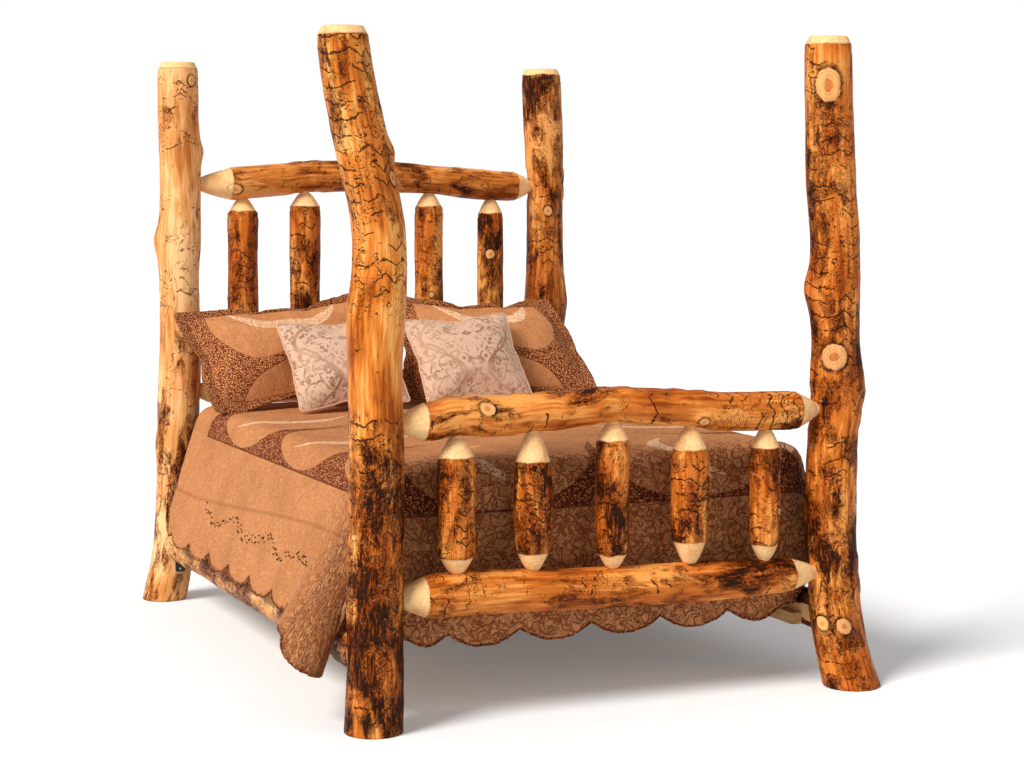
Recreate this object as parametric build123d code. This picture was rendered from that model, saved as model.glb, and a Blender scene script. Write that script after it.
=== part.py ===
from build123d import *

import math
import os

# A four-post log bed with its bedding. Millimetres, +Z up. The origin is on the
# floor under the middle of the bed, +Y runs to the headboard and +X to the right
# of someone who stands at the foot and looks at the headboard.

# ---- bedding: the mattress size sets the room inside the frame ----
MATTRESS_WIDTH = 1524.0
MATTRESS_LENGTH = 2032.0
MATTRESS_DEPTH = 310.0
MATTRESS_WALL = 20.0  # padded casing round the spring space
MATTRESS_CORNER = 60.0  # upright corner radius
MATTRESS_EDGE = 36.0  # rounding of the top and bottom edges
MATTRESS_TO_HEAD = 16.0  # how far it is pushed towards the headboard
FOUNDATION_SIDE_ROOM = 2.0  # how much narrower the foundation is on each side
FOUNDATION_DEPTH = 229.0
FOUNDATION_WALL = 8.0  # fabric and padding over the wooden frame
FOUNDATION_EDGE = 6.0
FRAME_BOARD = 19.0  # thickness of the boards in the foundation
FRAME_SLAT_WIDTH = 70.0
FRAME_SLAT_COUNT = 7
SOFT_GAP = 0.4  # between a soft piece and what it lies on
QUILT_THICKNESS = 18.0
QUILT_EDGE = 44.0  # rounding where the quilt turns down
QUILT_DROP_TOP = 750.0  # the drops begin to flare below this height
QUILT_FLARE = 196.0  # how far the side drops stand out at the lowest hem
QUILT_CORNER_FLARE = 225.0  # the same at the foot corners
QUILT_FOOT_FLARE = 16.0
QUILT_HEAD_EDGE = 940.0  # where the side drops end, from the middle of the bed
QUILT_HEAD_ROUND = 120.0  # rounded lower corner of a side drop
SIDE_HEM_HIGH = 325.0  # scalloped hem of the side drops
SIDE_HEM_LOW = 285.0
SIDE_HEM_PITCH = 250.0
SIDE_HEM_SCALLOPS = 5
CORNER_HEM = 128.0  # lowest point of the corner folds
CORNER_FOLD_LENGTH = 420.0  # along the side, up to the first scallop
FOOT_HEM_HIGH = 262.0  # scalloped hem of the foot drop
FOOT_HEM_LOW = 216.0
FOOT_HEM_PITCH = 250.0
FOOT_HEM_SCALLOPS = 6
HEM_OVER_RAIL = 12.0  # room between the quilt and the side rails

# ---- posts ----
POST_HEIGHT = 2134.0
POST_RADIUS = 85.0
POST_BEVEL_WIDTH = 13.0  # pale hand-cut bevel round the top
POST_BEVEL_HEIGHT = 26.0

# ---- rails and spindles of the two ends ----
END_RAIL_RADIUS = 64.0
FOOT_TOP_RAIL_HEIGHT = 945.0
FOOT_BOTTOM_RAIL_HEIGHT = 391.0
HEAD_TOP_RAIL_HEIGHT = 1668.0
HEAD_BOTTOM_RAIL_HEIGHT = 832.0
RAIL_TENON_RADIUS = 25.4
RAIL_TENON_LENGTH = 58.0
SPINDLE_RADIUS = 60.0
SPINDLE_PITCH = 273.0
SPINDLE_TENON_RADIUS = 19.0
SPINDLE_TENON_LENGTH = 44.0
SHOULDER_SINK = 5.0  # how far a cut cone goes into the log it meets
TENON_FIT = 0.15  # between a tenon and its bore
TENON_END_ROOM = 0.8  # glue room at the bottom of a bore
RING_PITCH = 75.0  # length of the straight-sided lengths that a log is made of
# lengths of the left and right cones of each end rail
FOOT_BOTTOM_CONES = (75.0, 85.0)
FOOT_TOP_CONES = (74.0, 72.0)
HEAD_BOTTOM_CONES = (75.0, 75.0)
HEAD_TOP_CONES = (124.0, 70.0)

# ---- side rails, ledgers and slats ----
SIDE_RAIL_RADIUS = 62.5
SIDE_RAIL_HEIGHT = 230.0
SIDE_RAIL_FLAT = 12.5  # depth of the flat sawn on the inner side
RAIL_ROOM = 13.0  # between the mattress and the flat of a side rail
END_ROOM = 55.0  # between the mattress and the end rails
POST_FLAT_FROM_AXIS = 70.0  # flat seat for the side rail, from the post's axis
SEAT_MARGIN = 8.0  # the seat is this much bigger than the rail all round
LEDGER_SECTION = 38.0
LEDGER_END_ROOM = 60.0
SLAT_COUNT = 5
SLAT_WIDTH = 89.0
SLAT_THICKNESS = 19.0
SLAT_TOP = 235.0
SLAT_SIDE_ROOM = 3.0
SLAT_END_SPACE = 170.0  # from the end of the foundation to the first slat
LEG_SECTION = 64.0
LEG_PAD_THICKNESS = 6.0
LEG_PAD_MARGIN = 4.0

# ---- bed-rail brackets and screws ----
PLATE_WIDTH = 38.0
PLATE_THICKNESS = 3.0
PLATE_BOTTOM = 122.0
PLATE_TOP = 284.0
PLATE_CORNER = 6.0
HOOK_THICKNESS = 3.0
HOOK_HEIGHT = 26.0
HOOK_REACH = 9.0
HOOK_DROP = 7.0  # how far a hook hangs down behind the post plate
HOOK_SPREAD = 44.0  # between the two hooks of a plate
HOOK_CLEARANCE = 0.5
PLATE_GAP = 0.15  # between the two plates of a hooked joint
SCREW_RADIUS = 2.1
SCREW_HEAD_RADIUS = 4.2
SCREW_HEAD_DEPTH = 2.4
SCREW_CLEARANCE = 0.12
PLATE_SCREW_LENGTH = 32.0
PLATE_SCREW_MARGIN = 12.0  # from the plate's ends
LEDGER_SCREW_LENGTH = 62.0
LEDGER_SCREW_COUNT = 6
SLAT_SCREW_LENGTH = 38.0
LEG_SCREW_SPREAD = 26.0

# ---- pillows ----
SHAM_WIDTH = 836.0
SHAM_HEIGHT = 505.0
SHAM_DEPTH = 176.0
SHAM_FLANGE = 42.0
THROW_WIDTH = 470.0
THROW_HEIGHT = 412.0
THROW_DEPTH = 136.0
THROW_FLANGE = 10.0
FLANGE_THICKNESS = 6.0
PILLOW_WALL = 5.0
CUSHION_RINGS = 4  # steps from the middle of a cushion to each face
CUSHION_CROWN = 0.45  # how much smaller its face is than its middle

# ---- worked out from the sizes above ----
POST_X = MATTRESS_WIDTH / 2 + RAIL_ROOM + SIDE_RAIL_RADIUS - SIDE_RAIL_FLAT
POST_Y = MATTRESS_LENGTH / 2 + END_ROOM + END_RAIL_RADIUS
RAIL_FLAT_X = MATTRESS_WIDTH / 2 + RAIL_ROOM
FOUNDATION_WIDTH = MATTRESS_WIDTH - 2 * FOUNDATION_SIDE_ROOM
FOUNDATION_BOTTOM = SLAT_TOP + SOFT_GAP
MATTRESS_BOTTOM = FOUNDATION_BOTTOM + FOUNDATION_DEPTH + SOFT_GAP
MATTRESS_TOP = MATTRESS_BOTTOM + MATTRESS_DEPTH
QUILT_TOP = MATTRESS_TOP + SOFT_GAP + QUILT_THICKNESS
SLAT_BOTTOM = SLAT_TOP - SLAT_THICKNESS
RAIL_END_Y = POST_Y - POST_FLAT_FROM_AXIS - 2 * PLATE_THICKNESS - PLATE_GAP

# A log's stations are (share of its length, bend one way, bend the other way,
# swell of its radius). A post bends along X and Y, an end rail along Y and Z,
# and a side rail along X and Z.
POST_STATIONS = {
    "foot_left": [
        (0, 6, 0, 5),
        (0.12, 10, 0, 3),
        (0.25, 10, 0, 3),
        (0.38, 17, 0, 0),
        (0.53, 14, 0, -2),
        (0.60, 17, 0, 4),
        (0.66, 28, 0, 1),
        (0.74, 24, 0, -4),
        (0.80, -4, 0, -3),
        (0.85, -28, 0, -1),
        (0.90, -52, 0, -3),
        (0.96, -77, 0, -6),
        (1, -86, 0, -7),
    ],
    "foot_right": [
        (0, 30, -52, 11),
        (0.03, 23, -28, 7),
        (0.06, 14, -12, 4),
        (0.13, -10, 0, 3),
        (0.20, -22, 0, -1),
        (0.30, -26, 0, -1),
        (0.42, -19, 0, -1),
        (0.49, -12, 0, 1),
        (0.55, -14, 0, -7),
        (0.61, -22, 0, 0),
        (0.67, -16, 0, -4),
        (0.80, -37, 0, -4),
        (0.92, -49, 0, -6),
        (1, -53, 0, -8),
    ],
    "head_left": [
        (0, -37, 34, 2),
        (0.02, -28, 26, 4),
        (0.05, -17, 14, -1),
        (0.09, -10, 4, -5),
        (0.20, 6, 0, -7),
        (0.27, 10, 0, -5),
        (0.37, 20, 0, -1),
        (0.47, 27, 0, -2),
        (0.61, 25, 0, -6),
        (0.675, 24, 0, 3),
        (0.74, 31, 0, -4),
        (0.84, 35, 0, -3),
        (0.91, 27, 0, -6),
        (1, 28, 0, -6),
    ],
    "head_right": [
        (0, 6, 20, 6),
        (0.06, 0, 8, 2),
        (0.20, -14, 0, 0),
        (0.34, -26, 0, 1),
        (0.46, -30, 0, 2),
        (0.545, -25, 0, 3),
        (0.62, -23, 0, -4),
        (0.69, -23, 0, -8),
        (0.83, -26, 0, -6),
        (0.90, -31, 0, -2),
        (1, -42, 0, -3),
    ],
}
FOOT_TOP_STATIONS = [
    (0, 0, -4, -3),
    (0.06, 0, 6, 0),
    (0.20, 2, 6, 0),
    (0.31, 0, 9, -2),
    (0.43, -2, 20, -5),
    (0.56, 0, 17, -5),
    (0.70, 2, -3, -3),
    (0.85, 0, -18, -1),
    (1, 0, -22, 1),
]
FOOT_BOTTOM_STATIONS = [
    (0, 0, 12, 2),
    (0.15, -2, 13, 5),
    (0.36, 0, 2, 3),
    (0.59, 3, -7, 2),
    (0.82, 0, -11, -1),
    (1, 0, -11, -5),
]
HEAD_TOP_STATIONS = [
    (0, 0, -9, 3),
    (0.18, 2, 9, 0),
    (0.37, 0, 23, 1),
    (0.59, -3, 17, 1),
    (0.72, 0, 6, -4),
    (0.84, 2, -9, 0),
    (1, 0, -20, -1),
]
HEAD_BOTTOM_STATIONS = [
    (0, 0, 0, 0),
    (0.3, 3, 6, 2),
    (0.6, -2, -4, -1),
    (1, 0, 4, 1),
]
SIDE_RAIL_STATIONS = {
    "left": [(0, 0, 0, 1), (0.25, -2, 2, -1), (0.55, 2, -3, 2), (0.8, 0, 2, 0), (1, 0, 0, 2)],
    "right": [(0, 0, -8, 2), (0.3, 2, -4, 0), (0.62, -2, 3, 1), (1, 0, 0, -1)],
}
# Each spindle: shift along the rail, swell, length of its lower and upper cones,
# and the swell of its body at its foot, a third, two thirds and the top.
FOOT_SPINDLES = [
    (0, 1, 53, 65, (0, -2, 0, 1)),
    (-15, 1, 54, 90, (-5, 1, 2, -4)),
    (-10, -5, 45, 54, (-2, -1, 1, 2)),
    (-5, 2, 76, 70, (-3, -1, 0, -2)),
    (1, -9, 50, 59, (0, 1, -1, -1)),
]
HEAD_SPINDLES = [
    (11, 2, 55, 52, (1, 0, -2, 1)),
    (0, 3, 60, 55, (0, -2, 1, 0)),
    (3, 0, 55, 55, (1, 2, 0, -1)),
    (-4, 0, 58, 55, (-1, 1, 0, 0)),
    (2, -5, 55, 58, (2, 0, 1, -2)),
]
# Each sham: centre along X, lower edge along Y, lean back, roll in its own plane.
# Each throw pillow: centre along X, roll in its own plane.
SHAM_LEFT = (-432.0, 672.0, 36.0, 2.6)
SHAM_RIGHT = (424.0, 676.0, 36.0, -1.0)
THROW_LEFT = (-295.0, 3.0)
THROW_RIGHT = (225.0, 3.0)


class Log:
    """A peeled log whose middle line and thickness follow its stations."""

    def __init__(self, start, end, radius, stations):
        self.start = Vector(*start)
        self.end = Vector(*end)
        self.radius = radius
        self.stations = stations
        run = self.end - self.start
        self.direction = run.normalized()
        along_x = abs(self.direction.X) > 0.5
        upright = abs(self.direction.Z) > 0.5
        self.first_side = Vector(0, 1, 0) if along_x else Vector(1, 0, 0)
        self.second_side = Vector(0, 1, 0) if upright else Vector(0, 0, 1)

    def blend(self, share):
        """Bends and swell at a share of the length, on a smooth curve through the stations."""
        share = min(max(share, 0.0), 1.0)
        last = len(self.stations) - 1
        index = next((i for i in range(last) if share <= self.stations[i + 1][0]), last - 1)
        low, high = self.stations[index], self.stations[index + 1]
        before, after = self.stations[max(index - 1, 0)], self.stations[min(index + 2, last)]
        span = high[0] - low[0]
        part = (share - low[0]) / span
        values = []
        for a, b, previous, following in zip(low[1:], high[1:], before[1:], after[1:]):
            leave = (b - previous) / (high[0] - before[0]) * span
            arrive = (following - a) / (after[0] - low[0]) * span
            bend = (2 * a - 2 * b + leave + arrive) * part**3
            bend += (3 * b - 3 * a - 2 * leave - arrive) * part**2
            values.append(bend + leave * part + a)
        return values

    def centre(self, share):
        """Point on the middle line."""
        first, second, _ = self.blend(share)
        on_chord = self.start + (self.end - self.start) * share
        return on_chord + self.first_side * first + self.second_side * second

    def thickness(self, share):
        """Radius at a share of the length."""
        return self.radius + self.blend(share)[2]

    def share_at(self, point):
        """Share of the length level with a point."""
        run = self.end - self.start
        return (Vector(*point) - self.start).dot(run) / run.dot(run)

    def body(self):
        """The log between its two ends, as short straight-sided lengths of round timber."""
        count = math.ceil((self.end - self.start).length / RING_PITCH)
        rings = []
        for index in range(count + 1):
            ring = Plane(origin=self.centre(index / count), z_dir=self.direction)
            rings.append(ring * Circle(self.thickness(index / count)))
        return loft(rings, ruled=True)


def cut_end(shoulder, direction, radius, cone, tenon, room=0.0, end_room=0.0):
    """Hand-cut cone and round tenon on the end of a log, or the hollow that takes them."""
    tenon_radius, tenon_length = tenon
    place = Plane(origin=shoulder, z_dir=direction)
    taper = Solid.make_cone(radius + room, tenon_radius + room, cone, place)
    neck = Plane(origin=shoulder + direction * (cone - SHOULDER_SINK), z_dir=direction)
    peg = Solid.make_cylinder(tenon_radius + room, tenon_length + SHOULDER_SINK + end_room, neck)
    return taper + peg


# ---------------------------------------------------------------- posts
def post_log(name):
    """Middle line and thickness of one post, up to its bevel."""
    x = POST_X if name.endswith("right") else -POST_X
    y = POST_Y if name.startswith("head") else -POST_Y
    top = POST_HEIGHT - POST_BEVEL_HEIGHT
    return Log((x, y, 0), (x, y, top), POST_RADIUS, POST_STATIONS[name])


def post_surface_x(post, height, side):
    """Where a post's inner face is, level with a rail; side is -1 left and 1 right."""
    share = height / (POST_HEIGHT - POST_BEVEL_HEIGHT)
    return post.centre(share).X - side * post.thickness(share)


def post_solid(post, cutters):
    """One post with its bevelled top, its bores and the seat of its side rail."""
    top = Plane(origin=post.centre(1), z_dir=(0, 0, 1))
    radius = post.thickness(1)
    bevel = Solid.make_cone(radius, radius - POST_BEVEL_WIDTH, POST_BEVEL_HEIGHT, top)
    solid = post.body() + bevel
    for cutter in cutters:
        solid = solid - cutter
    return solid


# ---------------------------------------------------------------- end rails and spindles
class EndRail:
    """A rail between two posts, with a cone and a tenon at each end."""

    def __init__(self, left_post, right_post, y, height, stations, left_cone, right_cone):
        self.cones = (left_cone, right_cone)
        left = post_surface_x(left_post, height, -1)
        right = post_surface_x(right_post, height, 1)
        start = (left - SHOULDER_SINK + left_cone, y, height)
        end = (right + SHOULDER_SINK - right_cone, y, height)
        self.log = Log(start, end, END_RAIL_RADIUS, stations)

    def end_shapes(self, room=0.0, end_room=0.0):
        """The two cut ends, or their hollows when room is given."""
        shapes = []
        for share, sign, cone in ((0, -1, self.cones[0]), (1, 1, self.cones[1])):
            shoulder = self.log.centre(share)
            radius = self.log.thickness(share)
            tenon = (RAIL_TENON_RADIUS, RAIL_TENON_LENGTH)
            shapes.append(cut_end(shoulder, Vector(sign, 0, 0), radius, cone, tenon, room, end_room))
        return shapes

    def solid(self, cutters):
        """The rail with the bores of its spindles."""
        left, right = self.end_shapes()
        solid = self.log.body() + left + right
        for cutter in cutters:
            solid = solid - cutter
        return solid


class Spindle:
    """A short upright log between a lower and an upper rail."""

    def __init__(self, x, lower, upper, swell, lower_cone, upper_cone, swells):
        low_share = lower.log.share_at((x, 0, 0))
        high_share = upper.log.share_at((x, 0, 0))
        low_centre = lower.log.centre(low_share)
        high_centre = upper.log.centre(high_share)
        self.cones = (lower_cone, upper_cone)
        low = low_centre.Z + lower.log.thickness(low_share) - SHOULDER_SINK + lower_cone
        high = high_centre.Z - upper.log.thickness(high_share) + SHOULDER_SINK - upper_cone
        y = lower.log.start.Y
        steps = len(swells) - 1
        stations = [(i / steps, 0, 0, s) for i, s in enumerate(swells)]
        self.log = Log((x, y, low), (x, y, high), SPINDLE_RADIUS + swell, stations)

    def end_shapes(self, room=0.0, end_room=0.0):
        """The lower and the upper cut end, or their hollows when room is given."""
        shapes = []
        for share, sign, cone in ((0, -1, self.cones[0]), (1, 1, self.cones[1])):
            shoulder = self.log.centre(share)
            radius = self.log.thickness(share)
            tenon = (SPINDLE_TENON_RADIUS, SPINDLE_TENON_LENGTH)
            shapes.append(cut_end(shoulder, Vector(0, 0, sign), radius, cone, tenon, room, end_room))
        return shapes

    def solid(self):
        """The spindle with its two cut ends."""
        lower, upper = self.end_shapes()
        return self.log.body() + lower + upper


def spindle_row(lower, upper, shapes):
    """The spindles of one end of the bed, evenly spaced about its middle."""
    middle = (len(shapes) - 1) / 2
    row = []
    for index, (shift, swell, lower_cone, upper_cone, swells) in enumerate(shapes):
        x = (index - middle) * SPINDLE_PITCH + shift
        row.append(Spindle(x, lower, upper, swell, lower_cone, upper_cone, swells))
    return row


def build_end(prefix, posts, y, rails, shapes):
    """Rails and spindles of the footboard or headboard; returns nodes and post cutters."""
    (low_height, low_stations, low_cones), (top_height, top_stations, top_cones) = rails
    left, right = posts
    lower = EndRail(left, right, y, low_height, low_stations, *low_cones)
    upper = EndRail(left, right, y, top_height, top_stations, *top_cones)
    spindles = spindle_row(lower, upper, shapes)
    low_bores = [s.end_shapes(TENON_FIT, TENON_END_ROOM)[0] for s in spindles]
    top_bores = [s.end_shapes(TENON_FIT, TENON_END_ROOM)[1] for s in spindles]
    nodes = {
        f"{prefix}_bottom_rail": lower.solid(low_bores),
        f"{prefix}_top_rail": upper.solid(top_bores),
    }
    for number, spindle in enumerate(spindles, start=1):
        nodes[f"{prefix}_spindle_{number}"] = spindle.solid()
    ends = [rail.end_shapes(TENON_FIT, TENON_END_ROOM) for rail in (lower, upper)]
    return nodes, [pair[0] for pair in ends], [pair[1] for pair in ends]


# ---------------------------------------------------------------- screws
def screw(tip_to_head, head_centre, length, room=0.0):
    """Countersunk screw; the vector points from its tip to its head."""
    direction = Vector(*tip_to_head).normalized()
    head = Vector(*head_centre)
    neck = Plane(origin=head - direction * SCREW_HEAD_DEPTH, z_dir=direction)
    cone = Solid.make_cone(SCREW_RADIUS + room, SCREW_HEAD_RADIUS + room, SCREW_HEAD_DEPTH, neck)
    tip = Plane(origin=head - direction * (length + room), z_dir=direction)
    shank = Solid.make_cylinder(SCREW_RADIUS + room, length + room - SCREW_HEAD_DEPTH, tip)
    return cone + shank


def drilled(solid, screws):
    """A solid with the holes of the given screws, each (direction, head, length)."""
    for direction, head, length in screws:
        solid = solid - screw(direction, head, length, SCREW_CLEARANCE)
    return solid


# ---------------------------------------------------------------- brackets of the side rails
def plate_heights(low, high):
    """Heights of the two screws of a plate."""
    return (low + PLATE_SCREW_MARGIN, high - PLATE_SCREW_MARGIN)


def hook_heights():
    """Heights of the middles of the two hooks."""
    return (SIDE_RAIL_HEIGHT - HOOK_SPREAD / 2, SIDE_RAIL_HEIGHT + HOOK_SPREAD / 2)


def plate(x, back_y, outward, low, high):
    """Upright steel plate whose back lies on the plane y = back_y."""
    centre = (x, back_y + outward * PLATE_THICKNESS / 2, (low + high) / 2)
    block = Pos(*centre) * Box(PLATE_WIDTH, PLATE_THICKNESS, high - low)
    return fillet(block.edges().filter_by(Axis.Y), PLATE_CORNER)


class RailBracket:
    """Hooked steel joint between one post and one end of a side rail."""

    def __init__(self, x, end):
        self.x = x
        self.end = end  # -1 at the foot, 1 at the head
        self.inward = -end
        self.post_face = end * (POST_Y - POST_FLAT_FROM_AXIS)
        self.hook_face = self.post_face + self.inward * (PLATE_THICKNESS + PLATE_GAP)
        self.rail_low = SIDE_RAIL_HEIGHT - (PLATE_TOP - SIDE_RAIL_HEIGHT)

    def slots(self, growth, depth_from, depth):
        """Boxes for the hooks' openings, from a plane into the post."""
        boxes = []
        for height in hook_heights():
            tall = HOOK_HEIGHT + 2 * growth
            centre_y = depth_from - self.inward * depth / 2
            box = Pos(self.x, centre_y, height) * Box(HOOK_THICKNESS + 2 * growth, depth, tall)
            boxes.append(box)
        return boxes

    def post_plate(self):
        """Plate on the post, with two slots."""
        body = plate(self.x, self.post_face, self.inward, PLATE_BOTTOM, PLATE_TOP)
        front = self.post_face + self.inward * PLATE_THICKNESS
        for box in self.slots(HOOK_CLEARANCE, front + self.inward, PLATE_THICKNESS + 2):
            body = body - box
        return drilled(body, self.post_screws())

    def hook_plate(self):
        """Plate on the rail's end, with two hooks that drop behind the post plate."""
        body = plate(self.x, self.hook_face, self.inward, self.rail_low, PLATE_TOP)
        for height in hook_heights():
            neck_height = HOOK_HEIGHT - HOOK_DROP
            reach = PLATE_GAP + PLATE_THICKNESS + HOOK_CLEARANCE
            neck_centre = (
                self.x,
                self.hook_face - self.inward * reach / 2,
                height + HOOK_DROP / 2,
            )
            neck = Pos(*neck_centre) * Box(HOOK_THICKNESS, reach, neck_height)
            tooth_depth = HOOK_REACH - reach
            tooth_centre = (
                self.x,
                self.hook_face - self.inward * (reach + tooth_depth / 2),
                height,
            )
            tooth = Pos(*tooth_centre) * Box(HOOK_THICKNESS, tooth_depth, HOOK_HEIGHT)
            body = body + neck + tooth
        return drilled(body, self.rail_screws())

    def post_screws(self):
        """Screws that hold the post plate."""
        front = self.post_face + self.inward * PLATE_THICKNESS
        heights = plate_heights(PLATE_BOTTOM, PLATE_TOP)
        return [((0, self.inward, 0), (self.x, front, z), PLATE_SCREW_LENGTH) for z in heights]

    def rail_screws(self):
        """Screws that hold the hook plate to the rail's end; their heads face the post."""
        heights = plate_heights(self.rail_low, PLATE_TOP)
        return [((0, self.end, 0), (self.x, self.hook_face, z), PLATE_SCREW_LENGTH) for z in heights]

    def post_cutters(self):
        """Flat seat, hook pockets and screw holes in the post."""
        wide = 2 * (SIDE_RAIL_RADIUS + SEAT_MARGIN)
        low = PLATE_BOTTOM - SEAT_MARGIN
        high = SIDE_RAIL_HEIGHT + SIDE_RAIL_RADIUS + SEAT_MARGIN
        deep = 2 * POST_RADIUS
        centre = (self.x, self.post_face + self.inward * deep / 2, (low + high) / 2)
        seat = Pos(*centre) * Box(wide, deep, high - low)
        pockets = self.slots(HOOK_CLEARANCE, self.post_face, HOOK_REACH)
        holes = [screw(d, h, n, SCREW_CLEARANCE) for d, h, n in self.post_screws()]
        return [seat] + pockets + holes


# ---------------------------------------------------------------- side rails, ledgers, slats
def ledger_screws(side):
    """Screws through a ledger into the flat of its rail."""
    span = 2 * (RAIL_END_Y - LEDGER_END_ROOM) - 2 * LEDGER_SECTION
    step = span / (LEDGER_SCREW_COUNT - 1)
    x = side * (RAIL_FLAT_X - LEDGER_SECTION)
    z = SLAT_BOTTOM - LEDGER_SECTION / 2
    places = [-span / 2 + step * i for i in range(LEDGER_SCREW_COUNT)]
    return [((-side, 0, 0), (x, y, z), LEDGER_SCREW_LENGTH) for y in places]


def slat_places():
    """Middles of the slats along the bed."""
    span = MATTRESS_LENGTH - 2 * SLAT_END_SPACE
    step = span / (SLAT_COUNT - 1)
    return [MATTRESS_TO_HEAD - span / 2 + step * i for i in range(SLAT_COUNT)]


def slat_screws(side):
    """One screw down through each slat into the ledger."""
    x = side * (RAIL_FLAT_X - LEDGER_SECTION / 2)
    return [((0, 0, 1), (x, y, SLAT_TOP), SLAT_SCREW_LENGTH) for y in slat_places()]


def leg_screws():
    """Two screws down through the middle slat into the leg."""
    y = slat_places()[SLAT_COUNT // 2]
    sides = (-LEG_SCREW_SPREAD / 2, LEG_SCREW_SPREAD / 2)
    return [((0, 0, 1), (x, y, SLAT_TOP), SLAT_SCREW_LENGTH) for x in sides]


def side_rail(side, brackets):
    """Log with a flat sawn along its inner side and sawn-off ends."""
    name = "left" if side < 0 else "right"
    x = side * POST_X
    ends = ((x, -RAIL_END_Y, SIDE_RAIL_HEIGHT), (x, RAIL_END_Y, SIDE_RAIL_HEIGHT))
    log = Log(*ends, SIDE_RAIL_RADIUS, SIDE_RAIL_STATIONS[name])
    waste = Box(2 * SIDE_RAIL_RADIUS, 2 * POST_Y, 4 * SIDE_RAIL_RADIUS)
    beyond_flat = Pos(side * (RAIL_FLAT_X - SIDE_RAIL_RADIUS), 0, SIDE_RAIL_HEIGHT) * waste
    solid = log.body() - beyond_flat
    holes = ledger_screws(side)
    for bracket in brackets:
        holes = holes + bracket.rail_screws()
    return drilled(solid, holes)


def ledger(side):
    """Square strip along the flat of a side rail, which carries the slats."""
    length = 2 * (RAIL_END_Y - LEDGER_END_ROOM)
    centre = (side * (RAIL_FLAT_X - LEDGER_SECTION / 2), 0, SLAT_BOTTOM - LEDGER_SECTION / 2)
    strip = Pos(*centre) * Box(LEDGER_SECTION, length, LEDGER_SECTION)
    return drilled(strip, ledger_screws(side) + slat_screws(side))


def slat(index, screws):
    """One board across the bed."""
    length = 2 * (RAIL_FLAT_X - SLAT_SIDE_ROOM)
    centre = (0, slat_places()[index], SLAT_TOP - SLAT_THICKNESS / 2)
    return drilled(Pos(*centre) * Box(length, SLAT_WIDTH, SLAT_THICKNESS), screws)


def support_leg():
    """Square leg under the middle slat."""
    y = slat_places()[SLAT_COUNT // 2]
    height = SLAT_BOTTOM - LEG_PAD_THICKNESS
    block = Pos(0, y, LEG_PAD_THICKNESS + height / 2) * Box(LEG_SECTION, LEG_SECTION, height)
    return drilled(block, leg_screws())


def leg_pad():
    """Felt pad under the support leg."""
    y = slat_places()[SLAT_COUNT // 2]
    wide = LEG_SECTION - 2 * LEG_PAD_MARGIN
    return Pos(0, y, LEG_PAD_THICKNESS / 2) * Box(wide, wide, LEG_PAD_THICKNESS)


# ---------------------------------------------------------------- foundation and mattress
def padded_block(width, length, low, high, corner, edge):
    """Block with rounded upright corners and rounded top and bottom edges."""
    outline = Pos(0, MATTRESS_TO_HEAD, low) * RectangleRounded(width, length, corner)
    block = extrude(outline, high - low)
    rims = block.faces().sort_by(Axis.Z)
    return fillet(rims[0].edges() + rims[-1].edges(), edge)


def casing(width, length, low, high, corner, edge, wall):
    """Padded block with the closed space inside its wall."""
    outer = padded_block(width, length, low, high, corner, edge)
    inner_edge = max(edge - wall, 1.0)
    inner = padded_block(
        width - 2 * wall, length - 2 * wall, low + wall, high - wall, corner - wall, inner_edge
    )
    return outer - inner


def foundation_cover():
    """Fabric case of the box foundation."""
    top = FOUNDATION_BOTTOM + FOUNDATION_DEPTH
    heights = (FOUNDATION_BOTTOM, top)
    rounding = (MATTRESS_CORNER, FOUNDATION_EDGE)
    return casing(FOUNDATION_WIDTH, MATTRESS_LENGTH, *heights, *rounding, FOUNDATION_WALL)


def foundation_frame():
    """Wooden frame inside the foundation: four boards on edge and cross slats on top."""
    room = FOUNDATION_WALL + SOFT_GAP
    low = FOUNDATION_BOTTOM + room
    high = FOUNDATION_BOTTOM + FOUNDATION_DEPTH - room
    width = FOUNDATION_WIDTH - 2 * room
    length = MATTRESS_LENGTH - 2 * room
    corner = MATTRESS_CORNER - room
    outer = extrude(Pos(0, MATTRESS_TO_HEAD, low) * RectangleRounded(width, length, corner), high - low)
    inner_corner = corner - FRAME_BOARD
    hole = RectangleRounded(width - 2 * FRAME_BOARD, length - 2 * FRAME_BOARD, inner_corner)
    frame = outer - extrude(Pos(0, MATTRESS_TO_HEAD, low) * hole, high - low)
    inside = length - 2 * FRAME_BOARD
    step = inside / (FRAME_SLAT_COUNT + 1)
    for index in range(FRAME_SLAT_COUNT):
        y = MATTRESS_TO_HEAD - inside / 2 + step * (index + 1)
        centre = (0, y, high - FRAME_BOARD / 2)
        frame = frame + Pos(*centre) * Box(width - FRAME_BOARD, FRAME_SLAT_WIDTH, FRAME_BOARD)
    return frame


def mattress(growth=0.0, hollow=True):
    """The mattress, or its outer form made bigger by a growth all round."""
    sizes = (
        MATTRESS_WIDTH + 2 * growth,
        MATTRESS_LENGTH + 2 * growth,
        MATTRESS_BOTTOM - growth,
        MATTRESS_TOP + growth,
        MATTRESS_CORNER + growth,
        MATTRESS_EDGE + growth,
    )
    return casing(*sizes, MATTRESS_WALL) if hollow else padded_block(*sizes)


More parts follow.
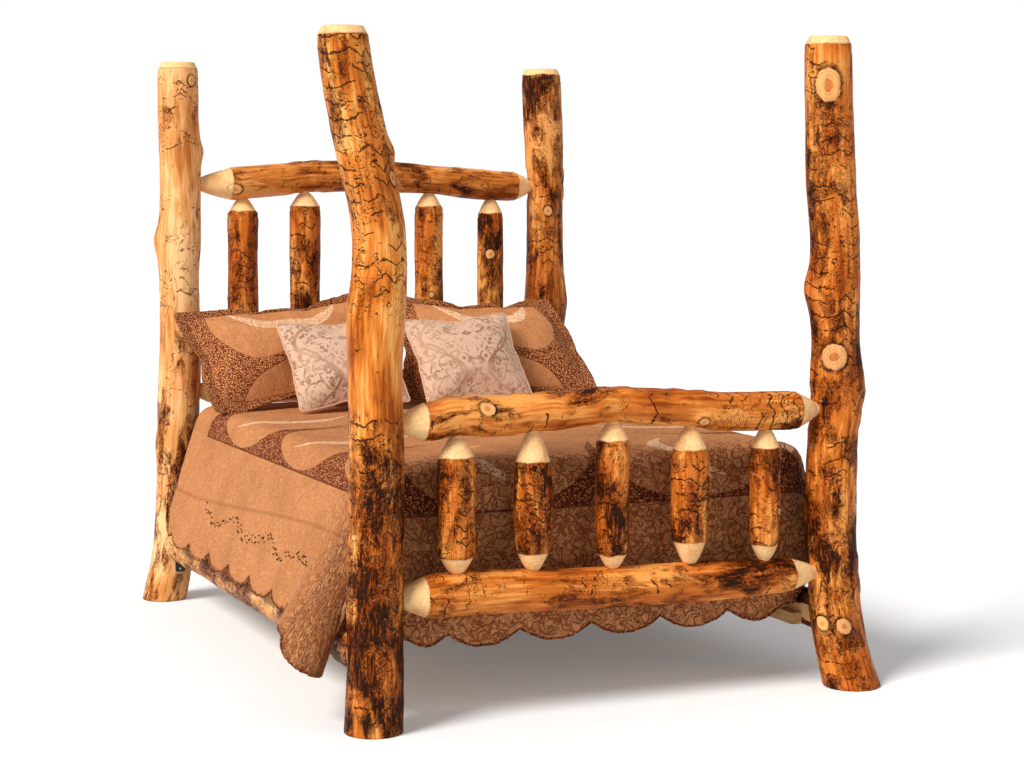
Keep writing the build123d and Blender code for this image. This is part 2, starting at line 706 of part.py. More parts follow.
# ---------------------------------------------------------------- quilt
def drop_outline(height, flare, corner_flare, foot_flare, inset):
    """Plan of the quilt's drops at one height, open corners rounded by short sides."""
    half = MATTRESS_WIDTH / 2 + SOFT_GAP + QUILT_THICKNESS - inset
    foot = MATTRESS_TO_HEAD - MATTRESS_LENGTH / 2 - SOFT_GAP - QUILT_THICKNESS + inset
    back = QUILT_HEAD_EDGE + QUILT_THICKNESS
    turn = (2 - math.sqrt(2)) * (MATTRESS_CORNER + QUILT_THICKNESS - inset) - SOFT_GAP
    right = [
        (half + flare, back),
        (half + flare, foot + 1.4 * CORNER_FOLD_LENGTH),
        (half + corner_flare, foot + 0.75 * CORNER_FOLD_LENGTH),
        (half + corner_flare, foot + 0.3 * CORNER_FOLD_LENGTH),
        (half + 0.8 * corner_flare, foot - foot_flare + turn),
        (half - turn + 0.3 * flare, foot - foot_flare),
    ]
    left = [(-x, y) for x, y in reversed(right)]
    return Plane.XY.offset(height) * make_face(Polyline(*right, *left, close=True))


def drop_walls():
    """The hanging cloth on three sides, before its hem is cut."""
    full = (QUILT_FLARE, QUILT_CORNER_FLARE, QUILT_FOOT_FLARE)
    rings = [drop_outline(QUILT_DROP_TOP, 0, 0, 0, 0), drop_outline(CORNER_HEM, *full, 0)]
    outer = loft(rings, ruled=True)
    inner_rings = [
        drop_outline(QUILT_DROP_TOP, 0, 0, 0, QUILT_THICKNESS),
        drop_outline(CORNER_HEM, *full, QUILT_THICKNESS),
    ]
    return outer - loft(inner_rings, ruled=True)


def quilt_cap():
    """The part that lies on the mattress and turns down round its edges."""
    cap = extrude(drop_outline(QUILT_DROP_TOP, 0, 0, 0, 0), QUILT_TOP - QUILT_DROP_TOP)
    rim = cap.faces().sort_by(Axis.Z)[-1]
    cap = fillet(rim.edges(), QUILT_EDGE - 2)
    return cap - mattress(SOFT_GAP, hollow=False)


def scallops(start, count, pitch, high, low):
    """Arcs that sag between points, as a list of edges along one line."""
    arcs = []
    for index in range(count):
        first = start - index * pitch
        arcs.append(ThreePointArc((first, high), (first - pitch / 2, low), (first - pitch, high)))
    return arcs


def side_hem_waste():
    """Everything below the hem of the side drops, the whole width of the bed."""
    foot = MATTRESS_TO_HEAD - MATTRESS_LENGTH / 2 - QUILT_THICKNESS - 2 * QUILT_FOOT_FLARE
    head = QUILT_HEAD_EDGE
    start = head - QUILT_HEAD_ROUND
    arcs = scallops(start, SIDE_HEM_SCALLOPS, SIDE_HEM_PITCH, SIDE_HEM_HIGH, SIDE_HEM_LOW)
    last = start - SIDE_HEM_SCALLOPS * SIDE_HEM_PITCH
    corner_start = foot + CORNER_FOLD_LENGTH
    points = [(last, SIDE_HEM_HIGH)]
    points.append((corner_start, (SIDE_HEM_HIGH + CORNER_HEM) / 2))
    points.append((foot + 0.7 * CORNER_FOLD_LENGTH, CORNER_HEM + 12))
    points.append((foot + 0.35 * CORNER_FOLD_LENGTH, CORNER_HEM))
    points.append((foot, CORNER_HEM))
    fold = Polyline(*points)
    rounded = ThreePointArc(
        (head, SIDE_HEM_LOW + QUILT_HEAD_ROUND),
        (head - 0.3 * QUILT_HEAD_ROUND, SIDE_HEM_LOW + 0.3 * QUILT_HEAD_ROUND),
        (start, SIDE_HEM_HIGH),
    )
    far = 2 * QUILT_THICKNESS
    rest = Polyline(
        (foot, CORNER_HEM),
        (foot - far, CORNER_HEM),
        (foot - far, 0),
        (head + far, 0),
        (head + far, SIDE_HEM_LOW + QUILT_HEAD_ROUND),
        (head, SIDE_HEM_LOW + QUILT_HEAD_ROUND),
    )
    outline = make_face([rounded, *arcs, fold, rest])
    return extrude(Plane.YZ.offset(-2 * POST_X) * outline, 4 * POST_X)


def foot_hem_waste():
    """Everything below the hem of the foot drop, between the side rails."""
    half = FOOT_HEM_PITCH * FOOT_HEM_SCALLOPS / 2
    arcs = scallops(half, FOOT_HEM_SCALLOPS, FOOT_HEM_PITCH, FOOT_HEM_HIGH, FOOT_HEM_LOW)
    reach = max(RAIL_FLAT_X, half + SOFT_GAP)
    rest = Polyline(
        (-half, FOOT_HEM_HIGH),
        (-reach, FOOT_HEM_HIGH),
        (-reach, 0),
        (reach, 0),
        (reach, FOOT_HEM_HIGH),
        (half, FOOT_HEM_HIGH),
    )
    outline = make_face([*arcs, rest])
    face = Plane.XZ.offset(POST_Y + POST_RADIUS) * outline
    return extrude(face, -(POST_Y + POST_RADIUS) + QUILT_THICKNESS * 10)


def quilt():
    """The quilt: a flat top, flared side drops, a foot drop and two corner folds."""
    solid = drop_walls() + quilt_cap()
    beyond = 2 * QUILT_THICKNESS
    head_waste = Box(4 * POST_X, beyond, 2 * QUILT_TOP)
    solid = solid - Pos(0, QUILT_HEAD_EDGE + beyond / 2, QUILT_TOP) * head_waste
    solid = solid - side_hem_waste() - foot_hem_waste()
    for side in (-1, 1):
        around = SIDE_RAIL_RADIUS + HEM_OVER_RAIL
        start = Plane(origin=(side * POST_X, -POST_Y, SIDE_RAIL_HEIGHT), z_dir=(0, 1, 0))
        room = Solid.make_cylinder(around, 2 * POST_Y, start)
        under = Pos(side * POST_X, 0, SIDE_RAIL_HEIGHT / 2) * Box(2 * around, 2 * POST_Y, SIDE_RAIL_HEIGHT)
        solid = solid - room - under
    return solid


# ---------------------------------------------------------------- pillows
def cushion_form(width, height, depth):
    """Crowned cushion, thickest in the middle and pinched at its edges."""
    rings = []
    for index in range(-CUSHION_RINGS, CUSHION_RINGS + 1):
        level = math.sin(math.radians(90) * index / CUSHION_RINGS)
        share = 1 - CUSHION_CROWN * abs(index / CUSHION_RINGS) ** 2.4
        corner = min(width, height) * share * 0.2
        ring = RectangleRounded(width * share, height * share, corner)
        rings.append(Plane.XY.offset(level * depth / 2) * ring)
    return loft(rings, ruled=True)


def pillow(width, height, depth, flange):
    """Stuffed case with a flat flange round it, lying on the XY plane."""
    inner_width = width - 2 * flange
    inner_height = height - 2 * flange
    form = cushion_form(inner_width, inner_height, depth)
    border = RectangleRounded(width, height, flange + FLANGE_THICKNESS)
    sheet = extrude(Plane.XY.offset(-FLANGE_THICKNESS / 2) * border, FLANGE_THICKNESS)
    wall = 2 * PILLOW_WALL
    stuffing = cushion_form(inner_width - wall, inner_height - wall, depth - wall)
    return form + sheet - stuffing


def lowest(solid):
    """Height of a solid's lowest point."""
    return solid.bounding_box().min.Z


def leaning(solid, height, x, y, lean, roll):
    """A pillow set on the quilt on its lower edge, leaning back towards the headboard."""
    tilt = math.radians(lean)
    up = Vector(0, math.sin(tilt), math.cos(tilt))
    normal = Vector(0, -math.cos(tilt), math.sin(tilt))
    middle = Vector(x, y, QUILT_TOP) + up * (height / 2)
    turned = Rot(0, 0, roll) * solid
    placed = Plane(origin=middle, x_dir=(1, 0, 0), z_dir=normal) * turned
    rise = (QUILT_TOP + SOFT_GAP - lowest(placed)) / up.Z
    return Pos(*(up * rise)) * placed, middle + up * rise, normal


def pillow_pair(sham_place, throw_place):
    """A sham that leans back, and a throw pillow flat against its front."""
    x, y, lean, roll = sham_place
    sham = pillow(SHAM_WIDTH, SHAM_HEIGHT, SHAM_DEPTH, SHAM_FLANGE)
    sham, middle, normal = leaning(sham, SHAM_HEIGHT, x, y, lean, roll)
    throw_x, throw_roll = throw_place
    throw = pillow(THROW_WIDTH, THROW_HEIGHT, THROW_DEPTH, THROW_FLANGE)
    apart = (SHAM_DEPTH + THROW_DEPTH) / 2 + SOFT_GAP
    tilt = math.radians(lean)
    # the throw pillow's plane is the sham's, moved forwards; this is where it meets the quilt
    foot_y = middle.Y - (middle.Z - QUILT_TOP) * math.tan(tilt) - apart / math.cos(tilt)
    throw, _, _ = leaning(throw, THROW_HEIGHT, throw_x, foot_y, lean, throw_roll)
    return sham, throw


# ---------------------------------------------------------------- the whole bed
def build():
    """All nodes of the bed, by name."""
    posts = {name: post_log(name) for name in POST_STATIONS}
    foot_rails = (
        (FOOT_BOTTOM_RAIL_HEIGHT, FOOT_BOTTOM_STATIONS, FOOT_BOTTOM_CONES),
        (FOOT_TOP_RAIL_HEIGHT, FOOT_TOP_STATIONS, FOOT_TOP_CONES),
    )
    head_rails = (
        (HEAD_BOTTOM_RAIL_HEIGHT, HEAD_BOTTOM_STATIONS, HEAD_BOTTOM_CONES),
        (HEAD_TOP_RAIL_HEIGHT, HEAD_TOP_STATIONS, HEAD_TOP_CONES),
    )
    foot_posts = (posts["foot_left"], posts["foot_right"])
    head_posts = (posts["head_left"], posts["head_right"])
    foot_nodes, *foot_cuts = build_end("footboard", foot_posts, -POST_Y, foot_rails, FOOT_SPINDLES)
    head_nodes, *head_cuts = build_end("headboard", head_posts, POST_Y, head_rails, HEAD_SPINDLES)
    nodes = {**foot_nodes, **head_nodes}
    plate_screws = []
    for side, name in ((-1, "left"), (1, "right")):
        brackets = []
        for end, place, cuts in ((-1, "foot", foot_cuts), (1, "head", head_cuts)):
            bracket = RailBracket(side * POST_X, end)
            brackets.append(bracket)
            post = f"{place}_{name}"
            tenons = cuts[0] if side < 0 else cuts[1]
            nodes[f"post_{post}"] = post_solid(posts[post], tenons + bracket.post_cutters())
            nodes[f"post_plate_{post}"] = bracket.post_plate()
            nodes[f"hook_plate_{post}"] = bracket.hook_plate()
            plate_screws += bracket.post_screws() + bracket.rail_screws()
        nodes[f"side_rail_{name}"] = side_rail(side, brackets)
        nodes[f"ledger_{name}"] = ledger(side)
    nodes["bracket_screws"] = Compound([screw(*s) for s in plate_screws])
    nodes["ledger_screws"] = Compound([screw(*s) for s in ledger_screws(-1) + ledger_screws(1)])
    across = slat_screws(-1) + slat_screws(1)
    nodes["slat_screws"] = Compound([screw(*s) for s in across + leg_screws()])
    for index in range(SLAT_COUNT):
        holes = [slat_screws(-1)[index], slat_screws(1)[index]]
        if index == SLAT_COUNT // 2:
            holes += leg_screws()
        nodes[f"slat_{index + 1}"] = slat(index, holes)
    nodes["support_leg"] = support_leg()
    nodes["leg_pad"] = leg_pad()
    nodes["foundation_cover"] = foundation_cover()
    nodes["foundation_frame"] = foundation_frame()
    nodes["mattress"] = mattress()
    nodes["quilt"] = quilt()
    nodes["pillow_sham_left"], nodes["throw_pillow_left"] = pillow_pair(SHAM_LEFT, THROW_LEFT)
    nodes["pillow_sham_right"], nodes["throw_pillow_right"] = pillow_pair(SHAM_RIGHT, THROW_RIGHT)
    return nodes


os.makedirs("parts", exist_ok=True)
for node, shape in build().items():
    export_step(shape, f"parts/{node}.step")
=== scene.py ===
"""A four-post bed of peeled logs, dressed with a quilt, two shams and two throw pillows."""

import logging
from dataclasses import dataclass
from enum import Enum
from math import atan2, copysign, cos, exp, hypot, inf, pi, radians, sin, tau
from typing import Callable, Sequence

import bmesh
import bpy
from bmesh.types import BMesh
from bpy.types import Material, Mesh, Node, NodeSocket, NodeTree, Object
from mathutils import Matrix, Vector, noise
from mathutils.bvhtree import BVHTree


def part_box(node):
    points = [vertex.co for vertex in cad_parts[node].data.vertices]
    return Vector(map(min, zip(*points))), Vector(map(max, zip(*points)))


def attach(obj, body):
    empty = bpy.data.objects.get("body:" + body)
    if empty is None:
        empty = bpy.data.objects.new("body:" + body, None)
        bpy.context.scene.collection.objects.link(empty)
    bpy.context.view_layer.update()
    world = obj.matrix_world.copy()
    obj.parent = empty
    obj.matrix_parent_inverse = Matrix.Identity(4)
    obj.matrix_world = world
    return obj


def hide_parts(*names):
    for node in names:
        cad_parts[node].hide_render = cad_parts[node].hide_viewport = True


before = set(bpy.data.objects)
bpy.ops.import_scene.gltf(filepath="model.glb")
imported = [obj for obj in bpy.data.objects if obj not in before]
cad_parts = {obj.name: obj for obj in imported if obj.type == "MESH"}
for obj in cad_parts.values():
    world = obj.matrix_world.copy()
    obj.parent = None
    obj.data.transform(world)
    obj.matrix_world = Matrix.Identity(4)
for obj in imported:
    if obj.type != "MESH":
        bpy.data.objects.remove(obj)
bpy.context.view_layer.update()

LOG = logging.getLogger("log_bed")

Pair = tuple[float, float]
Colour = tuple[float, float, float, float]
Stations = tuple[Pair, ...]


def srgb(red: int, green: int, blue: int) -> Colour:
    """Linear colour for a shader from the three parts of a screen colour, 0 to 255."""
    parts = []
    for part in (red, green, blue):
        share = part / 255
        parts.append(share / 12.92 if share <= 0.04045 else ((share + 0.055) / 1.055) ** 2.4)
    return (*parts, 1.0)


def smooth_share(value: float, low: float, high: float) -> float:
    """Smooth rise from 0 at low to 1 at high; low may be above high.

    Args:
        value: where to read the rise.
        low: value at which it is 0.
        high: value at which it is 1.

    Returns:
        A share from 0 to 1.
    """
    share = min(max((value - low) / (high - low), 0.0), 1.0)
    return share * share * (3 - 2 * share)


def noise_at(x: float, y: float, z: float) -> float:
    """Smooth noise from -1 to 1 at a place."""
    return noise.noise(Vector((x, y, z)))


def crest(value: float, place: float, width: float) -> float:
    """Smooth crest of height 1 and the given width at a place."""
    return exp(-(((value - place) / width) ** 2))


def along_stations(stations: Stations, place: float) -> float:
    """Value at a place on a line through (place, value) stations, flat beyond its ends."""
    if place <= stations[0][0]:
        return stations[0][1]
    for (low, before), (high, after) in zip(stations, stations[1:]):
        if place <= high:
            return before + (after - before) * smooth_share(place, low, high)
    return stations[-1][1]


# ---------- shader graphs
def arithmetic(operation: str, swapped: bool = False) -> Callable[["Signal", "Value"], "Signal"]:
    """Method of a signal that adds one math node.

    Args:
        operation: what the node does.
        swapped: whether the other value comes first.

    Returns:
        The method.
    """

    def applied(signal: "Signal", other: "Value") -> "Signal":
        """Result of the math node."""
        pair = (other, signal) if swapped else (signal, other)
        return signal.graph.math(operation, *pair)

    return applied


@dataclass(frozen=True)
class Signal:
    """Value that changes over a surface; arithmetic on it adds nodes to its graph."""

    graph: "Graph"
    socket: NodeSocket

    __add__, __radd__ = arithmetic("ADD"), arithmetic("ADD", swapped=True)
    __sub__, __rsub__ = arithmetic("SUBTRACT"), arithmetic("SUBTRACT", swapped=True)
    __mul__, __rmul__ = arithmetic("MULTIPLY"), arithmetic("MULTIPLY", swapped=True)
    __truediv__ = arithmetic("DIVIDE")

    def __abs__(self) -> "Signal":
        """Its size without its sign."""
        return self.graph.math("ABSOLUTE", self)


Value = float | Sequence[float] | Signal
Signals = dict[str, Signal]
Inputs = dict[str, Value]


class Graph:
    """Adds nodes to a shader tree and joins them with short calls."""

    def __init__(self, tree: NodeTree) -> None:
        self.tree = tree

    def node(self, kind: str, **settings: object) -> Node:
        """New node of a kind, with its settings."""
        made = self.tree.nodes.new(kind)
        for name, value in settings.items():
            setattr(made, name, value)
        return made

    def feed(self, socket: NodeSocket, value: Value) -> None:
        """Link a socket to a signal, or set its value."""
        if isinstance(value, Signal):
            self.tree.links.new(value.socket, socket)
        else:
            socket.default_value = value

    def step(self, kind: str, inputs: dict, output: int | str = 0, **settings: object) -> Signal:
        """Add a node and read it.

        Args:
            kind: kind of the node.
            inputs: values of its inputs, by name or number.
            output: which of its outputs is read.
            settings: its other settings.

        Returns:
            The output.
        """
        made = self.node(kind, **settings)
        for key, value in inputs.items():
            self.feed(made.inputs[key], value)
        return Signal(self, made.outputs[output])

    def attribute(self, name: str, output: str = "Fac") -> Signal:
        """An attribute of the piece's own mesh."""
        return self.step("ShaderNodeAttribute", {}, output, attribute_name=name)

    def object_place(self) -> Signal:
        """Place on the piece, in metres."""
        return self.step("ShaderNodeTexCoord", {}, "Object")

    def math(self, operation: str, first: Value, second: Value = 0.0) -> Signal:
        """Result of one arithmetic step."""
        return self.step("ShaderNodeMath", {0: first, 1: second}, operation=operation)

    def vector(self, operation: str, first: Value, second: Value = (0.0, 0.0, 0.0)) -> Signal:
        """Result of one step on vectors; SCALE takes a number as its second value."""
        key = "Scale" if operation == "SCALE" else 1
        output = "Value" if operation == "LENGTH" else "Vector"
        return self.step("ShaderNodeVectorMath", {0: first, key: second}, output, operation=operation)

    def drawn(self, place: Value, share: float) -> Signal:
        """Place with its third part scaled, which draws a pattern out along a log."""
        return self.vector("MULTIPLY", place, (1.0, 1.0, share))

    def pushed(self, place: Value, scale: float, detail: float, rough: float, reach: float) -> Signal:
        """Place moved about by noise, by up to half a reach."""
        push = self.noise(place, scale, detail, rough, 0.0, "Color")
        push = self.vector("SCALE", self.vector("SUBTRACT", push, (0.5, 0.5, 0.5)), reach)
        return self.vector("ADD", place, push)

    def parts(self, vector: Value) -> tuple[Signal, ...]:
        """X, Y and Z of a vector."""
        made = self.node("ShaderNodeSeparateXYZ")
        self.feed(made.inputs[0], vector)
        return tuple(Signal(self, output) for output in made.outputs)

    def joined(self, x: Value, y: Value, z: Value = 0.0) -> Signal:
        """Vector of three values."""
        return self.step("ShaderNodeCombineXYZ", {0: x, 1: y, 2: z})

    def mix(self, share: Value, first: Value, second: Value, blend: str = "MIX") -> Signal:
        """Colour between two others."""
        inputs = {0: share, 6: first, 7: second}
        return self.step("ShaderNodeMix", inputs, 2, data_type="RGBA", blend_type=blend)

    def noise(self, vector: Value, scale: Value, detail: float = 3.0, rough: float = 0.5, warp: float = 0.0,
              output: str = "Fac") -> Signal:
        """Cloudy noise."""
        inputs = {"Vector": vector, "Scale": scale, "Detail": detail, "Roughness": rough, "Distortion": warp}
        return self.step("ShaderNodeTexNoise", inputs, output)

    def cells(self, vector: Value, scale: Value, spread: float = 1.0) -> Signal:
        """Distance to the nearest point of a pattern of cells."""
        inputs = {"Vector": vector, "Scale": scale, "Randomness": spread}
        return self.step("ShaderNodeTexVoronoi", inputs, "Distance", feature="F1")

    def rise(self, value: Value, low: Value, high: Value, start: Value = 0.0, end: Value = 1.0) -> Signal:
        """Smooth change from start to end as a value goes from low to high."""
        inputs = dict(enumerate((value, low, high, start, end)))
        return self.step("ShaderNodeMapRange", inputs, interpolation_type="SMOOTHSTEP")

    def fall(self, value: Value, low: Value, high: Value) -> Signal:
        """Smooth change from 1 to 0 as a value goes from low to high."""
        return self.rise(value, low, high, 1.0, 0.0)

    def bump(self, height: Value, distance: float) -> Signal:
        """Normal of a surface with a height in shares of a distance."""
        return self.step("ShaderNodeBump", {"Height": height, "Distance": distance, "Strength": 1.0})

    def place(self, effect: str, **inputs: Value) -> Signals:
        """Add a shared effect with its own values, and read all its outputs."""
        made = self.node("ShaderNodeGroup", node_tree=EFFECTS[effect])
        for key, value in inputs.items():
            self.feed(made.inputs[key], value)
        return {output.name: Signal(self, output) for output in made.outputs}


class Socket(Enum):
    """Kinds of socket on a shared effect."""

    VALUE = "NodeSocketFloat"
    COLOUR = "NodeSocketColor"
    PLACE = "NodeSocketVector"


EFFECTS: dict[str, NodeTree] = {}


def shared_effect(**inputs: Socket) -> Callable[[Callable[..., Signals]], None]:
    """Make a shader node group of the function below, once, for every finish that places it.

    Args:
        inputs: the group's inputs and their kinds.

    Returns:
        What turns the function into a group.
    """

    def build(paint: Callable[..., Signals]) -> None:
        """Build the group; its outputs are values, or a colour where one has that name."""
        tree = bpy.data.node_groups.new(paint.__name__, "ShaderNodeTree")
        for key, kind in inputs.items():
            tree.interface.new_socket(key, in_out="INPUT", socket_type=kind.value)
        graph = Graph(tree)
        given = {output.name: Signal(graph, output) for output in graph.node("NodeGroupInput").outputs}
        painted = paint(graph, given)
        for key in painted:
            kind = Socket.COLOUR if key == "Colour" else Socket.VALUE
            tree.interface.new_socket(key, in_out="OUTPUT", socket_type=kind.value)
        shown = graph.node("NodeGroupOutput").inputs
        for key, signal in painted.items():
            graph.feed(shown[key], signal)
        EFFECTS[paint.__name__] = tree

    return build


@shared_effect(Place=Socket.PLACE, Fineness=Socket.VALUE, Dark=Socket.COLOUR,
               Mid=Socket.COLOUR, Pale=Socket.COLOUR, Blotch=Socket.VALUE)
def grain(g: Graph, given: Signals) -> Signals:
    """Streaks of colour that run along the grain of a log or board.

    Args:
        g: graph of the group.
        given: its inputs.

    Returns:
        A colour and the height of the grain.
    """
    drawn = g.drawn(given["Place"], 0.075)
    fine = g.noise(drawn, given["Fineness"] * 95.0, 6.0, 0.62, 0.15)
    broad = g.noise(g.drawn(given["Place"], 0.22), 15.0, 4.0, 0.6, 0.5)
    blotch = g.noise(g.drawn(given["Place"], 0.55), 5.0, 3.0, 0.55, 0.3)
    tone = fine * 0.5 + broad * 0.5 + (blotch - 0.5) * given["Blotch"]
    colour = g.mix(g.rise(tone, 0.36, 0.50), given["Dark"], given["Mid"])
    colour = g.mix(g.rise(tone, 0.49, 0.62), colour, given["Pale"])
    return {"Colour": colour, "Height": fine}


@shared_effect(Place=Socket.PLACE, Amount=Socket.VALUE)
def bark(g: Graph, given: Signals) -> Signals:
    """Thin inner bark left on a peeled log, in torn patches.

    Args:
        g: graph of the group.
        given: its inputs.

    Returns:
        The masks of the patches, of a stain round them and of fine scribbles in
        the stain, and the patches' thickness.
    """
    drawn = g.drawn(given["Place"], 0.34)
    torn = g.noise(drawn, 21.0, 8.0, 0.68, 0.7)
    clouds = g.noise(g.drawn(given["Place"], 0.6), 9.0, 3.0, 0.55, 0.3)
    worn = torn * 0.55 + clouds * 0.45
    edge = 0.715 - given["Amount"] * 0.235
    mask = g.rise(worn - edge, 0.0, 0.016)
    stain = g.rise(worn - edge, -0.105, -0.005)
    scribble = g.noise(g.drawn(given["Place"], 0.7), 52.0, 3.0, 0.6, 2.0)
    scribble = g.fall(abs(scribble - 0.5), 0.018, 0.06)
    return {"Mask": mask, "Stain": stain, "Scribble": scribble * stain, "Height": mask * torn}


@shared_effect(Place=Socket.PLACE, Amount=Socket.VALUE, Width=Socket.VALUE, Scale=Socket.VALUE)
def trails(g: Graph, given: Signals) -> Signals:
    """Winding galleries that beetles leave under the bark.

    Args:
        g: graph of the group.
        given: its inputs.

    Returns:
        The mask of the galleries.
    """
    bent = g.pushed(given["Place"], 30.0, 3.0, 0.6, 0.030)
    wander = g.noise(g.drawn(bent, 1.7), given["Scale"], 1.0, 0.4, 2.2)
    away = abs(wander - 0.5)
    winding = g.fall(away, given["Width"] * 0.4, given["Width"])
    across, deep, along = g.parts(bent)
    swing = g.math("PINGPONG", across + deep * 0.7, 0.034)
    level = g.math("FRACT", (along + swing * 0.75) * 21.0)
    zigzag = g.fall(abs(level - 0.5), 0.03, 0.075)
    patch = g.noise(given["Place"], 9.0, 4.0, 0.6, 0.6)
    limit = 0.7 - given["Amount"] * 0.27
    here = g.rise(patch - limit, 0.0, 0.03)
    there = g.noise(g.vector("ADD", given["Place"], (0.7, 0.2, 0.4)), 8.0, 3.0, 0.55, 0.4)
    there = g.rise(there - (limit + 0.045), 0.0, 0.02)
    mask = g.math("MAXIMUM", winding * here, zigzag * there)
    return {"Mask": mask}


@shared_effect(Place=Socket.PLACE, Distance=Socket.VALUE)
def knots(g: Graph, given: Signals) -> Signals:
    """A cut branch: pale rings inside a dark rim.

    Args:
        g: graph of the group.
        given: its inputs.

    Returns:
        The masks of the cut face, its core, its rim and its rings.
    """
    wobble = g.noise(given["Place"], 55.0, 3.0, 0.55) - 0.5
    away = given["Distance"] + wobble * 0.34
    rings = g.math("SINE", away * 26.0)
    rim = g.rise(away, 0.86, 1.0) * g.fall(away, 1.05, 1.5)
    return {
        "Face": g.fall(away, 0.93, 1.02),
        "Core": g.fall(away, 0.3, 0.46),
        "Rim": rim,
        "Rings": g.rise(rings, 0.2, 1.0),
    }


@shared_effect(Place=Socket.PLACE, Scale=Socket.VALUE)
def stitches(g: Graph, given: Signals) -> Signals:
    """Meandering quilting stitches that pinch the cloth between puffs.

    Args:
        g: graph of the group.
        given: its inputs.

    Returns:
        The height of the cloth and the mask of the thread.
    """
    path = g.noise(given["Place"], given["Scale"], 1.0, 0.4, 1.1)
    away = abs(path - 0.5)
    puff = g.rise(away, 0.0, 0.11)
    second = g.noise(given["Place"], given["Scale"] * 1.35, 1.0, 0.4, 1.3)
    across = abs(second - 0.47)
    puff = puff * g.rise(across, 0.0, 0.09, 0.35, 1.0)
    return {"Height": puff, "Thread": g.fall(away, 0.0, 0.012)}


@shared_effect(Place=Socket.PLACE, Scale=Socket.VALUE, Ground=Socket.COLOUR, Fleck=Socket.COLOUR)
def calico(g: Graph, given: Signals) -> Signals:
    """Small-figured cotton: pale flecks close together on a dark ground.

    Args:
        g: graph of the group.
        given: its inputs.

    Returns:
        The colour of the print.
    """
    bent = g.pushed(given["Place"], 60.0, 2.0, 0.5, 0.004)
    fleck = g.cells(bent, given["Scale"], 0.68)
    colour = g.mix(g.fall(fleck, 0.33, 0.45), given["Ground"], given["Fleck"])
    return {"Colour": colour}


@shared_effect(Place=Socket.PLACE, Threads=Socket.VALUE)
def weave(g: Graph, given: Signals) -> Signals:
    """Plain weave with slubs, along the two directions of a cloth.

    Args:
        g: graph of the group.
        given: its inputs.

    Returns:
        The height of the threads and the mask of the slubs.
    """
    across, along, _ = g.parts(g.vector("SCALE", given["Place"], given["Threads"]))
    warp = g.math("SINE", across * tau)
    weft = g.math("SINE", along * tau)
    slub = g.noise(g.vector("MULTIPLY", given["Place"], (1.0, 0.06, 1.0)), 420.0, 2.0, 0.5)
    return {"Height": warp * weft, "Slub": g.rise(slub, 0.52, 0.70)}


@shared_effect(Along=Socket.VALUE, Inward=Socket.VALUE, Period=Socket.VALUE)
def lobes(g: Graph, given: Signals) -> Signals:
    """Curved lobes set side by side along a border, each with a crescent in it.

    Args:
        g: graph of the group.
        given: its inputs.

    Returns:
        The masks of the lobes, their seams and the crescents.
    """
    inward = given["Inward"]
    lean = inward * inward * 0.55
    swept = given["Along"] - lean
    cell = g.math("FRACT", swept / given["Period"])
    across = (cell - 0.5) * given["Period"]
    depth = inward - 0.19
    outer = g.math("MINIMUM", depth, 0.0) / 0.185
    half = given["Period"] * 0.46 + g.math("MAXIMUM", depth, 0.0) * 0.1
    side = across / half
    away = g.math("SQRT", side * side + outer * outer)
    spot = g.joined(across - 0.15, inward - 0.34)
    ring = abs(g.vector("LENGTH", spot) - 0.27)
    width = g.rise(inward, 0.05, 0.2) * g.rise(inward, 0.3, 0.52, 0.03, 0.004)
    band = g.fall(ring - width, -0.0012, 0.0012)
    band = band * g.math("LESS_THAN", across, 0.1) * g.math("LESS_THAN", inward, 0.52)
    return {
        "Lobe": g.fall(away, 0.995, 1.005),
        "Seam": g.fall(abs(away - 1.0), 0.0, 0.012),
        "Crescent": band * g.math("GREATER_THAN", inward, 0.055),
    }


# ---------- finishes
@dataclass(frozen=True)
class Finish:
    """A finish under its own name; each kind paints the inputs of its shader."""

    name: str

    def material(self) -> Material:
        """The finish as a material."""
        made = bpy.data.materials.new(self.name)
        made.use_nodes = True
        graph = Graph(made.node_tree)
        shader = next(n for n in made.node_tree.nodes if n.type == "BSDF_PRINCIPLED")
        for key, value in self.painted(graph).items():
            graph.feed(shader.inputs[key], value)
        return made

    def painted(self, g: Graph) -> Inputs:
        """Paint the finish.

        Args:
            g: graph of the material.

        Returns:
            The inputs of its shader, by name.
        """
        raise NotImplementedError


